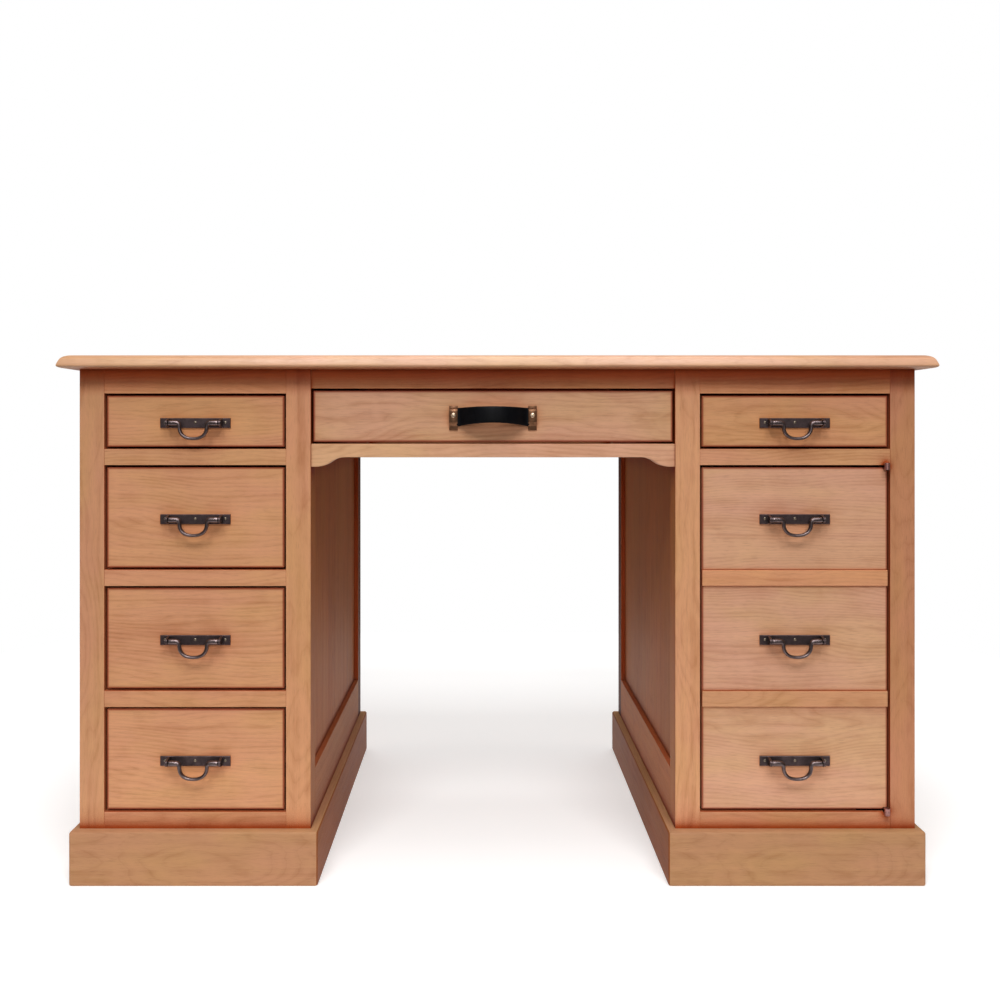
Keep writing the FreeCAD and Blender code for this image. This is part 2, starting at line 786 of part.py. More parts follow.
def make_drawer(name, left, width, floor, height, face, tail_count, screws=()):
    """A front, two dovetailed sides, a housed back and a grooved bottom.

    left, width, floor and height are those of the opening, and face is where the front starts.
    """
    x0 = left + s.drawer_gap
    outer = width - 2 * s.drawer_gap
    z0 = floor + s.drawer_gap_below
    front_height = height - s.drawer_gap_below - s.drawer_gap
    shoulder = face + s.front_thickness
    end = drawer_end
    side_foot = floor + s.running_clearance
    side_top = z0 + front_height - s.side_drop
    tail_length = s.front_thickness - s.dovetail_lap
    bottom_z = side_foot + s.bottom_height
    bottom_top = bottom_z + s.bottom_thickness
    inner_left = x0 + s.side_thickness - s.housing_depth
    inner_width = outer - 2 * s.side_thickness + 2 * s.housing_depth

    bottom = node(
        f"{name}_bottom",
        box(
            f"{name}_bottom_board",
            (inner_left, inner_width),
            (shoulder - s.housing_depth, end - shoulder + s.housing_depth),
            (bottom_z, s.bottom_thickness),
        ),
    )
    back = box(
        f"{name}_back",
        (inner_left, inner_width),
        (end - s.back_inset - s.back_thickness, s.back_thickness),
        (bottom_top, side_top - s.back_drop - bottom_top),
    )

    def side(tag, x):
        """A side whose front end is cut into tails, evenly spaced up its height."""
        body = new_body(f"{name}_side_{tag}")
        board = new_sketch(body, "YZ_Plane", body.Name + "_board")
        outline(
            board,
            [(shoulder, side_foot), (end, side_foot), (end, side_top), (shoulder, side_top)],
        )
        pad(body, board, s.side_thickness)
        pitch = (side_top - z0) / tail_count
        root = pitch * s.tail_root_share
        low = z0 + (pitch - root) / 2
        tip = shoulder - tail_length
        tail = new_sketch(body, "YZ_Plane", body.Name + "_tail")
        outline(
            tail,
            [
                (shoulder, low),
                (shoulder, low + root),
                (tip, low + root + s.tail_flare),
                (tip, low - s.tail_flare),
            ],
        )
        one = pad(body, tail, s.side_thickness)
        tails = body.newObject("PartDesign::LinearPattern", body.Name + "_tails")
        tails.Originals = [one]
        tails.Direction = (tail, ["V_Axis"])
        bind(tails, "Length", pitch * (tail_count - 1))
        bind(tails, "Occurrences", tail_count)
        body.Tip = tails
        return place(body, x)

    sides = [
        cut(f"{name}_side_{tag}_housed", side(tag, x), [bottom, back])
        for tag, x in (("left", x0), ("right", x0 + outer - s.side_thickness))
    ]
    node(f"{name}_box", group(f"{name}_box_set", sides + [back]))
    node(
        f"{name}_front",
        cut(
            f"{name}_socketed_front",
            box(
                f"{name}_front_board",
                (x0, outer),
                (face, s.front_thickness),
                (z0, front_height),
            ),
            sides + [bottom] + list(screws),
        ),
    )


# Cupboard


def make_cupboard(left, width):
    """Floor, shelf and cleats behind the door. Returns the floor, which the frame houses."""
    inside_left = left + s.post_width
    inside_width = width - 2 * s.post_width
    floor_left = left + s.frame_thickness - s.floor_housing
    floor_width = width - 2 * s.frame_thickness + 2 * s.floor_housing
    floor = box(
        "CupboardFloor",
        (floor_left, floor_width),
        (post_back, bay_length),
        (bottom_rail_top - s.board_thickness, s.board_thickness),
    )
    node("cupboard_floor", floor)

    shelf_under = (bottom_rail_top + deep_ceiling) / 2
    cleats = [
        bar_between_posts(
            f"cleat_{'left' if into > 0 else 'right'}",
            face,
            into,
            (shelf_under - s.cleat_height, s.cleat_height),
        )
        for face, into in ((inside_left, 1), (inside_left + inside_width, -1))
    ]
    node("shelf_cleats", group("ShelfCleats", cleats))
    node(
        "cupboard_shelf",
        box(
            "CupboardShelf",
            (inside_left + s.shelf_side_gap, inside_width - 2 * s.shelf_side_gap),
            (front + s.shelf_setback, rear - s.shelf_rear_space - front - s.shelf_setback),
            (shelf_under, s.board_thickness),
        ),
    )
    return floor


def make_hinges(door_right):
    """Two pivot hinges at the door's right edge, each a leaf in the frame and one in the door."""
    pivot_x = door_right - s.pivot_inset
    pivot_y = front - s.pivot_stand
    frame_leaves, door_leaves = [], []

    def leaf(name, edge, middle, up, pin):
        """A leaf let into the edge of the door or rail, with a neck out to its knuckle.

        The two knuckles of a hinge meet at the height middle. up is 1 for the upper one.
        """
        thickness = s.leaf_thickness
        low = edge if up > 0 else edge - thickness
        plate_x = pivot_x + s.leaf_neck_width / 2 - s.leaf_length
        plate = box(
            name + "_plate",
            (plate_x, s.leaf_length),
            (front + s.leaf_setback, s.leaf_width),
            (low, thickness),
        )
        neck = box(
            name + "_neck",
            (pivot_x - s.leaf_neck_width / 2, s.leaf_neck_width),
            (pivot_y, s.pivot_stand + s.leaf_setback),
            (low, thickness),
        )
        joint = middle + up * s.knuckle_play
        knuckle_low = joint if up > 0 else joint - s.knuckle_height
        knuckle = cylinder(
            name + "_knuckle",
            s.knuckle_radius,
            s.knuckle_height,
            "z",
            pivot_x,
            pivot_y,
            knuckle_low,
        )
        body = fuse(name + "_body", [plate, neck, knuckle])
        pin_length = s.knuckle_height + 2 * s.knuckle_play - s.hinge_pin_short
        if pin:
            pin_low = joint - pin_length if up > 0 else joint
            bar = cylinder(
                name + "_pin", s.hinge_pin_radius, pin_length, "z", pivot_x, pivot_y, pin_low
            )
            return fuse(name, [body, bar])
        bore = cylinder(
            name + "_bore",
            s.hinge_pin_radius + s.pin_clearance,
            3 * s.knuckle_height,
            "z",
            pivot_x,
            pivot_y,
            joint - 1.5 * s.knuckle_height,
        )
        return cut(name, body, [bore])

    for tag, opening_edge, up in (("top", deep_ceiling, 1), ("bottom", bottom_rail_top, -1)):
        door_edge = opening_edge - up * s.drawer_gap
        middle = opening_edge - up * s.drawer_gap / 2
        frame_leaves.append(leaf(f"frame_leaf_{tag}", opening_edge, middle, up, True))
        door_leaves.append(leaf(f"door_leaf_{tag}", door_edge, middle, -up, False))
    node("hinge_frame_leaves", group("HingeFrameLeaves", frame_leaves))
    node("hinge_door_leaves", group("HingeDoorLeaves", door_leaves))
    return frame_leaves, door_leaves


def make_door(left, width, door_leaves):
    """A leaf with two strips across it, level with the rails between the left drawers."""
    x = (left + s.drawer_gap, width - 2 * s.drawer_gap)
    foot = bottom_rail_top + s.drawer_gap
    strips = [
        box(
            f"false_rail_{i}",
            x,
            (front, s.front_recess + s.false_rail_housing),
            (floor - s.divider_height, s.divider_height),
        )
        for i, floor in enumerate(deep_floors[:2], start=1)
    ]
    node("door_false_rails", group("DoorFalseRails", strips))
    board = box(
        "DoorBoard",
        x,
        (drawer_face, s.door_thickness),
        (foot, deep_ceiling - s.drawer_gap - foot),
    )
    node("door_leaf", cut("DoorLeaf", board, strips + door_leaves))


# Handles


def screw(name, x, y, z, radius, rise, shank, length):
    """A screw driven to the back. The underside of its head is centred on (x, y, z)."""
    body = new_body(name)
    half = new_sketch(body, "YZ_Plane", name + "_half")
    outline(
        half,
        [
            (-rise, 0),
            (length, 0),
            (length, shank),
            (0, shank),
            (0, radius),
            (-rise, radius * s.screw_top_share),
        ],
    )
    turned = body.newObject("PartDesign::Revolution", name + "_turned")
    turned.Profile = half
    turned.ReferenceAxis = (half, ["H_Axis"])
    half.Visibility = False
    return place(body, x, y, z)


def handle_plate(name, x, y, z):
    """A back plate with two ears, bored for the bail's pins. The pivot is at (x, y, z)."""
    body = new_body(name)
    face = new_sketch(body, "XZ_Plane", name + "_face", offset=-s.pivot_reach)
    half, rise = s.plate_width / 2, s.plate_height / 2
    outline(face, [(-half, -rise), (half, -rise), (half, rise), (-half, rise)])
    plate = pad(body, face, s.plate_thickness)
    doc.recompute()
    front_face = "Face" + str(
        1 + min(range(len(plate.Shape.Faces)), key=lambda i: plate.Shape.Faces[i].CenterOfMass.y)
    )
    bevel = body.newObject("PartDesign::Chamfer", name + "_bevel")
    bevel.Base = (plate, [front_face])
    bind(bevel, "Size", s.plate_bevel)
    ear = new_sketch(body, "YZ_Plane", name + "_ear", offset=s.ear_place)
    root = s.pivot_reach - s.plate_thickness
    outline(
        ear,
        [(0, s.ear_radius), (0, -s.ear_radius), (root, -rise_of_ear()), (root, rise_of_ear())],
        {0: s.ear_radius},
    )
    circle(ear, 0, 0, s.bail_pin_radius + s.pin_clearance)
    one = pad(body, ear, s.ear_thickness)
    both = body.newObject("PartDesign::Mirrored", name + "_ears")
    both.Originals = [one]
    plane = [f for f in body.Origin.OriginFeatures if f.Role == "YZ_Plane"][0]
    both.MirrorPlane = (plane, [""])
    body.Tip = both
    return place(body, x, y, z)


def rise_of_ear():
    """Half the height of an ear where it meets the back plate."""
    return s.plate_height / 2 - s.plate_bevel


def bail(name, x, y, z):
    """A half-ring loop with swollen shoulders and a pin at each end, about its pivot."""
    body = new_body(name + "_body")
    sketch = new_sketch(body, "XZ_Plane", name + "_outline")
    end = s.ear_place - s.bail_side_play
    rise = s.shoulder_height / 2
    outer = s.bail_outer_radius
    inner = outer - s.bail_bar_above
    below = s.bail_drop - rise  # the outer arc's depth under the shoulders
    outer_foot = root_of(2 * outer * below - below * below)
    corners = [
        (end, -rise),
        (end, rise),
        (s.shoulder_inner, rise),
        (inner, -rise),
        (-inner, -rise),
        (-s.shoulder_inner, rise),
        (-end, rise),
        (-end, -rise),
        (-outer_foot, -rise),
        (outer_foot, -rise),
    ]
    outline(sketch, corners, {3: s.bail_bar - below, 8: below})
    pad(body, sketch, s.bail_depth, both_ways=True)
    pin_length = s.bail_side_play + s.ear_thickness
    pins = [
        cylinder(f"{name}_pin_{tag}", s.bail_pin_radius, pin_length, "x", start, 0, 0)
        for tag, start in (("left", -end - pin_length), ("right", end))
    ]
    return place(fuse(name, [body] + pins), x, y, z)


def make_strap_handle(x, y, z):
    """A leather strap bowed out between two screwed clips. y is the drawer's face."""
    half = s.strap_span / 2
    reach = (half * half + s.strap_rise * s.strap_rise) / (2 * s.strap_rise)
    small = s.strap_foot_radius
    along_share = 2 * half * s.strap_rise / (half * half + s.strap_rise * s.strap_rise)
    out_share = 2 * s.strap_rise * s.strap_rise / (half * half + s.strap_rise * s.strap_rise)
    turn_x = half - small * along_share
    turn_y = small * out_share
    t = s.strap_thickness
    big = reach - small

    def arc_swell(radius, a, b):
        """How far an arc of this radius swells between two corners."""
        run, climb = b[0] - a[0], b[1] - a[1]
        return radius - apothem(radius, run * run + climb * climb)

    # The strap's two faces, each a tab, a small curve and the big curve, seen from above.
    back = [(half + s.strap_tab, 0), (half, 0), (turn_x, -turn_y)]
    step_x, step_y = t * along_share, t * (1 - out_share)
    face = [(half + s.strap_tab, -t), (half, -t), (turn_x + step_x, -turn_y - step_y)]

    corners = back + [(-a, b) for a, b in reversed(back)]
    corners += [(-a, b) for a, b in face] + list(reversed(face))
    foot_in = arc_swell(small, back[1], back[2])
    foot_out = arc_swell(small - t, face[1], face[2])
    big_in = arc_swell(big, back[2], (-turn_x, -turn_y))
    big_out = arc_swell(big + t, face[2], (-face[2][0], face[2][1]))
    body = new_body("Strap")
    plan = new_sketch(body, "XY_Plane", "strap_plan")
    outline(
        plan,
        corners,
        {1: foot_in, 2: -big_in, 3: foot_in, 7: -foot_out, 8: big_out, 9: -foot_out},
    )
    top = s.strap_height / 2
    over = top + s.strap_crown
    wide = s.strap_curve_half
    far = half + s.strap_tab
    pad(body, plan, 2 * over, both_ways=True)
    waist = new_sketch(body, "XZ_Plane", "strap_waist")
    outline(
        waist,
        [(-far, -over), (far, -over), (far, -top), (wide, -top), (-wide, -top), (-far, -top)],
        {3: s.strap_waist},
    )
    pocket(body, waist, 4 * s.strap_rise, both_ways=True)
    crown = new_sketch(body, "XZ_Plane", "strap_crown")
    outline(
        crown,
        [(-wide, top), (wide, top), (far, top), (far, over), (-far, over), (-far, top)],
        {0: -s.strap_crown},
    )
    pocket(body, crown, 4 * s.strap_rise, both_ways=True)
    strap = place(body, x, y, z)

    def clip(tag, middle_x):
        """A bent strip that holds one end of the strap against the drawer."""
        body = new_body(f"Clip_{tag}")
        section = new_sketch(body, "YZ_Plane", f"clip_section_{tag}")
        foot = s.clip_foot
        inner = t + s.clip_fit
        outer = inner + s.clip_wall
        low = s.strap_height / 2 + s.clip_fit
        mid = low + s.clip_wall
        high = s.clip_height / 2
        upper = [(0, low), (0, high), (-foot, high), (-foot, mid), (-outer, mid)]
        lower = [(a, -b) for a, b in reversed(upper)]
        outline(section, [(-inner, low)] + upper + lower + [(-inner, -low)])
        pad(body, section, s.clip_width, both_ways=True)
        head_y = y - outer
        held = screw(
            f"clip_screw_{tag}",
            middle_x,
            head_y,
            z,
            s.brass_screw_radius,
            s.brass_screw_rise,
            s.brass_screw_shank,
            s.brass_screw_length,
        )
        return cut(f"Clip_{tag}_drilled", place(body, middle_x, y, z), [held]), held

    offset = half + s.clip_width / 2
    ends = [clip("left", x - offset), clip("right", x + offset)]
    screws = [held for _, held in ends]
    node("strap_handle", cut("StrapPunched", strap, screws))
    node("strap_clips", group("StrapClips", [made for made, _ in ends]))
    node("strap_screws", group("StrapScrews", screws))
    return screws


# The desk

make_desktop()

left_opening = s.post_width - carcass_half
left_opening_width = s.left_pedestal_width - 2 * s.post_width
right_opening = kneehole_right + s.post_width
right_opening_width = s.right_pedestal_width - 2 * s.post_width

cupboard_floor = make_cupboard(kneehole_right, s.right_pedestal_width)
frame_leaves, door_leaves = make_hinges(right_opening + right_opening_width - s.drawer_gap)
left_floors = [shallow_floor] + deep_floors
make_pedestal(
    "left", -carcass_half, s.left_pedestal_width, left_floors[:-1], inner_is_right=True
)
make_pedestal(
    "right",
    kneehole_right,
    s.right_pedestal_width,
    [shallow_floor],
    inner_is_right=False,
    let_in=[cupboard_floor] + frame_leaves,
)
make_centre()

pivot_y = drawer_face - s.pivot_reach


def pedestal_drawer(name, handle, left, width, floor, height, tail_count):
    """A drawer with a bail handle."""
    x, z = middle_of_front(left, width, floor, height)
    at = (x, pivot_y, z - s.handle_drop)
    node(f"{handle}_plate", handle_plate(f"{handle}_back_plate", *at))
    node(f"{handle}_bail", bail(f"{handle}_swing", *at))
    make_drawer(name, left, width, floor, height, drawer_face, tail_count)


for number, floor in enumerate(left_floors, start=1):
    height, tail_count = (
        (s.shallow_opening, s.shallow_tail_count)
        if number == 1
        else (deep_opening, s.deep_tail_count)
    )
    pedestal_drawer(
        f"left_drawer_{number}",
        f"left_handle_{number}",
        left_opening,
        left_opening_width,
        floor,
        height,
        tail_count,
    )
pedestal_drawer(
    "right_drawer",
    "right_handle",
    right_opening,
    right_opening_width,
    shallow_floor,
    s.shallow_opening,
    s.shallow_tail_count,
)

door_plates = []
for number, floor in enumerate(deep_floors, start=1):
    middle_z = floor + deep_opening / 2 - s.handle_drop
    at = (right_opening + right_opening_width / 2, pivot_y, middle_z)
    door_plates.append(handle_plate(f"door_plate_{number}", *at))
    node(f"door_handle_{number}_bail", bail(f"door_bail_{number}", *at))
node("door_handle_plates", group("DoorPlates", door_plates))
make_door(right_opening, right_opening_width, door_leaves)

x, z = middle_of_front(kneehole_left, kneehole_width, centre_floor, s.shallow_opening)
strap_screws = make_strap_handle(x, centre_face, z - s.handle_drop)
make_drawer(
    "centre_drawer",
    kneehole_left,
    kneehole_width,
    centre_floor,
    s.shallow_opening,
    centre_face,
    s.shallow_tail_count,
    strap_screws,
)

doc.recompute()
broken = [o.Label for o in doc.Objects if "Invalid" in o.State or "Error" in o.State]
if broken:
    raise RuntimeError(f"these objects failed to build: {broken}")

os.makedirs("parts", exist_ok=True)
for name, thing in nodes.items():
    shape = thing.Shape
    if shape.isNull() or not shape.isValid() or not shape.Solids:
        raise RuntimeError(f"{name} has no valid solid")
    shape.exportStep(f"parts/{name}.step")
print(f"{len(nodes)} sub-parts, {sum(len(t.Shape.Solids) for t in nodes.values())} solids")
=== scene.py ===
"""Looks of a twin-pedestal kneehole desk: wood, metal, leather, studio floor, light and camera."""

import json
import math
import random

import bmesh
import bpy
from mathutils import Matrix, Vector

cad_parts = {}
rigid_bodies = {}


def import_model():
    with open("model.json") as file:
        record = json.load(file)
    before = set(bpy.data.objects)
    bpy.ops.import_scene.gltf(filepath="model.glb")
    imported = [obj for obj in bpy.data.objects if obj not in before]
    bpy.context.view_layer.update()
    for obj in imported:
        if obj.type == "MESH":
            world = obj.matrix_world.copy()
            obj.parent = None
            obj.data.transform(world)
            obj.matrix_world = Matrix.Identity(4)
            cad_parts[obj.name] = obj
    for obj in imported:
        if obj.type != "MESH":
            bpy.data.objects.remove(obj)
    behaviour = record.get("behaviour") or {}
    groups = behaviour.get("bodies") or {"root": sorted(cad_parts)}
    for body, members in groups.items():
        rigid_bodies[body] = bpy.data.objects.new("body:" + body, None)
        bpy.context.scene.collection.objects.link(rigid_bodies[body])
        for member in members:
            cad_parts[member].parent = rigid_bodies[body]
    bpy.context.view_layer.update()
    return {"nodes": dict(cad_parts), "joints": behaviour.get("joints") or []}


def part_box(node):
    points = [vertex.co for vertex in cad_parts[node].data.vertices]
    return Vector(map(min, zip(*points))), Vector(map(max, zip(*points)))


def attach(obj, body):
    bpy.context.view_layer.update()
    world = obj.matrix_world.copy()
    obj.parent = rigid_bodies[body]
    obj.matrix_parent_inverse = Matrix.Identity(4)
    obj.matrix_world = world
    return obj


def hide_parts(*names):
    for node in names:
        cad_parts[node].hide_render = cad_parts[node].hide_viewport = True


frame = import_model()
nodes = frame["nodes"]
MM = 0.001


# Shader helpers


class Shader:
    """A node tree with short ways to add and join its nodes."""

    def __init__(self, name):
        self.material = bpy.data.materials.new(name)
        self.material.use_nodes = True
        self.tree = self.material.node_tree
        self.surface = self.tree.nodes["Principled BSDF"]

    def add(self, kind, **settings):
        made = self.tree.nodes.new(kind)
        for key, value in settings.items():
            setattr(made, key, value)
        return made

    def join(self, source, target):
        self.tree.links.new(source, target)

    def feed(self, socket, value):
        """Sets a socket, or links it when the value is another node's output."""
        if isinstance(value, bpy.types.NodeSocket):
            self.join(value, socket)
        else:
            socket.default_value = value

    def coordinates(self):
        """A point's place and its surface's direction, both in the axes of the object."""
        made = self.add("ShaderNodeTexCoord")
        return made.outputs["Object"], made.outputs["Normal"]

    def own_vector(self, name):
        """A vector that the object carries as a property."""
        made = self.add("ShaderNodeAttribute", attribute_type="OBJECT", attribute_name=name)
        return made.outputs["Vector"]

    def openness(self, reach):
        """1 in the open, and less where surfaces within reach close a place in."""
        made = self.add("ShaderNodeAmbientOcclusion", samples=8)
        made.inputs["Distance"].default_value = reach
        return made.outputs["AO"]

    def math(self, operation, first, second=0.0):
        made = self.add("ShaderNodeMath", operation=operation)
        self.feed(made.inputs[0], first)
        self.feed(made.inputs[1], second)
        return made.outputs[0]

    def weighted(self, *pairs):
        """The sum of values, each times its weight."""
        total = 0.0
        for value, weight in pairs:
            total = self.math("ADD", total, self.math("MULTIPLY", value, weight))
        return total

    def vector(self, x, y, z):
        made = self.add("ShaderNodeCombineXYZ")
        for socket, value in zip(made.inputs, (x, y, z)):
            self.feed(socket, value)
        return made.outputs[0]

    def split(self, vector):
        made = self.add("ShaderNodeSeparateXYZ")
        self.join(vector, made.inputs[0])
        return made.outputs

    def vector_math(self, operation, *values):
        """A vector, or a number where the operation gives one."""
        made = self.add("ShaderNodeVectorMath", operation=operation)
        for socket, value in zip(made.inputs, values):
            self.feed(socket, value)
        return made.outputs["Value" if operation in ("LENGTH", "DOT_PRODUCT") else "Vector"]

    def noise(self, place, scale, detail=2.0, rough=0.5, distortion=0.0, output="Fac"):
        """Noise with as many cells a metre as scale says, for all axes or for each."""
        if isinstance(scale, tuple):
            place, scale = self.vector_math("MULTIPLY", place, scale), 1.0
        made = self.add("ShaderNodeTexNoise")
        self.feed(made.inputs["Vector"], place)
        made.inputs["Scale"].default_value = scale
        made.inputs["Detail"].default_value = detail
        made.inputs["Roughness"].default_value = rough
        made.inputs["Distortion"].default_value = distortion
        return made.outputs[output]

    def ramp(self, value, stops, mode="LINEAR"):
        """A colour ramp. Each stop is (place, grey or colour)."""
        made = self.add("ShaderNodeValToRGB")
        made.color_ramp.interpolation = mode
        points = made.color_ramp.elements
        while len(points) < len(stops):
            points.new(0.5)
        for point, (place, colour) in zip(points, stops):
            point.position = place
            shade = colour if isinstance(colour, (tuple, list)) else (colour,) * 3
            point.color = (*shade, 1)
        self.feed(made.inputs[0], value)
        return made.outputs[0]

    def mix(self, share, first, second, how="MIX"):
        # The node's colours are its inputs 6 and 7 and its output 2
        made = self.add("ShaderNodeMix", data_type="RGBA", blend_type=how)
        self.feed(made.inputs[0], share)
        for socket, value in ((made.inputs[6], first), (made.inputs[7], second)):
            if isinstance(value, (tuple, list)):
                value = (*value, 1)
            self.feed(socket, value)
        return made.outputs[2]

    def tinted(self, share, colour, tone):
        """The colour, multiplied by the tone as far as share says."""
        return self.mix(share, colour, self.mix(1.0, colour, tone, "MULTIPLY"))

    def bump(self, height, strength, distance):
        made = self.add("ShaderNodeBump")
        made.inputs["Strength"].default_value = strength
        made.inputs["Distance"].default_value = distance
        self.feed(made.inputs["Height"], height)
        return made.outputs[0]


def toned(tone, *colours):
    """The colours, each multiplied by the tone."""
    return [tuple(c * t for c, t in zip(colour, tone)) for colour in colours]


# Wood

# Cells a metre of each pattern, along the grain and across it
DRIFT = (2.6, 9.0, 9.0)
WAVER = (12.0, 70.0, 70.0)
FIBRE = (6.0, 380.0, 380.0)
PORES = (70.0, 1900.0, 1900.0)
PATCH = (3.4, 17.0, 17.0)
STRIPE = (1.6, 70.0, 70.0)
CURL = (22.0, 34.0, 34.0)
CLOUD = (7.0, 15.0, 15.0)
RINGS_PER_METRE = 210.0
PITH_WANDER = 0.075
# In metres: boards come from other places along their logs, with the pith up to 25 mm aside
BOARD_SPREAD = (9.0, 0.05, 0.05)
BOARD_START = (0.0, -0.025, -0.025)
BOARD_STEP = 0.381
BRIGHT_SWING, WARM_SWING = 0.26, 0.14
# One year's growth: dark at the line between two years, and pale in the middle
YEAR = ((0.0, 0.30), (0.08, 0.46), (0.55, 0.62), (0.86, 0.44), (1.0, 0.30))

LIGHT = (0.64, 0.305, 0.150)
DARK = (0.47, 0.190, 0.080)
RED = (0.64, 0.290, 0.160)
OCHRE = (0.98, 1.035, 0.93)
# Painted shade, warmer on fronts, in corners and under overhangs, by how open they are
PAINTED_SHADE = (0.54, 0.14, 0.0)
FRONT_PAINTED_SHADE = (0.95, 0.60, 0.40)
PAINTED_SHADE_DEPTH = (
    (0.0, 0.35), (0.35, 0.80), (0.62, 0.97), (0.72, 0.95), (0.82, 0.80), (0.90, 0.38), (0.97, 0.0),
)
# Wax and painted shade of the gaps along the edges of a front, by the distance to the edge in
# hundredths of a metre
WAX_AND_GAP_SHADE = (0.42, 0.12, 0.08)
WAX_AND_GAP_SHADE_EDGE = ((0.0, 1.0), (0.10, 0.85), (0.34, 0.0))
# Painted shade of the sides that face the kneehole, of the rear posts' sides there, and of the
# outer posts on the right, where less light falls
KNEEHOLE_SHADE = (0.61, 0.41, 0.19)
PLINTH_KNEEHOLE_SHADE = (0.57, 0.30, 0.11)
OUTER_POST_SHADE = (0.78, 0.715, 0.715)
REAR_POST_SHADE = (0.26, 0.16, 0.20)

# Where those sides and posts lie: places in metres, and sizes in mm
kneehole_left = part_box("left_posts")[1].x
kneehole_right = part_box("right_posts")[0].x
kneehole_middle = (kneehole_left + kneehole_right) / 2
PANEL_RECESS = 9.5
kneehole_reach = (kneehole_right - kneehole_left) / 2 + PANEL_RECESS * MM
OUTER_POST_WIDTH, REAR_POST_DEPTH = 37.5, 37.0
outer_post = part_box("right_posts")[1].x - OUTER_POST_WIDTH * MM
rear_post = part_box("right_posts")[1].y - REAR_POST_DEPTH * MM


def grain_axes(s, grain, place):
    """The way from the pith, its first number along the grain, and the way across the boards."""
    x, y, z = s.split(place)
    pith = s.split(s.own_vector("pith"))
    from_x, from_y, from_z = (s.math("SUBTRACT", a, b) for a, b in zip((x, y, z), pith))
    along_x = s.vector(from_x, from_y, from_z)
    along_y = s.vector(from_y, from_x, from_z)
    if grain == "x":
        return along_x, y
    if grain == "y":
        return along_y, x
    if grain == "z":
        return s.vector(from_z, from_x, from_y), s.math("ADD", x, y)
    # The node's vectors are its inputs 4 and 5 and its output 1
    chosen = s.add("ShaderNodeMix", data_type="VECTOR")
    s.feed(chosen.inputs[0], grain(s, x, y))
    s.feed(chosen.inputs[4], along_y)
    s.feed(chosen.inputs[5], along_x)
    return chosen.outputs[1], y


def own_tone(s, draw, tone):
    """A brightness and a warmth that each board draws for itself."""
    tint = s.add("ShaderNodeSeparateColor")
    s.join(draw, tint.inputs[0])

    def drawn(share, swing):
        """A factor about 1 that goes through the swing as share goes from 0 to 1."""
        return s.math("ADD", s.math("MULTIPLY", share, swing), 1 - swing / 2)

    brightness = drawn(tint.outputs[2], BRIGHT_SWING * tone)
    warm = drawn(tint.outputs[1], WARM_SWING * tone)
    green = s.math("MULTIPLY", brightness, warm)
    own = s.add("ShaderNodeCombineColor")
    for socket, value in zip(own.inputs, (brightness, green, s.math("MULTIPLY", green, warm))):
        s.join(value, socket)
    return own.outputs[0]


def way_to_rim(s, place):
    """The distance to the nearest edge of a front, in hundredths of a metre."""
    from_low = s.split(s.vector_math("SUBTRACT", place, s.own_vector("rim_low")))
    from_high = s.split(s.vector_math("SUBTRACT", s.own_vector("rim_high"), place))
    near_x = s.math("MINIMUM", from_low[0], from_high[0])
    near_z = s.math("MINIMUM", from_low[2], from_high[2])
    return s.math("MULTIPLY", s.math("MINIMUM", near_x, near_z), 100.0)


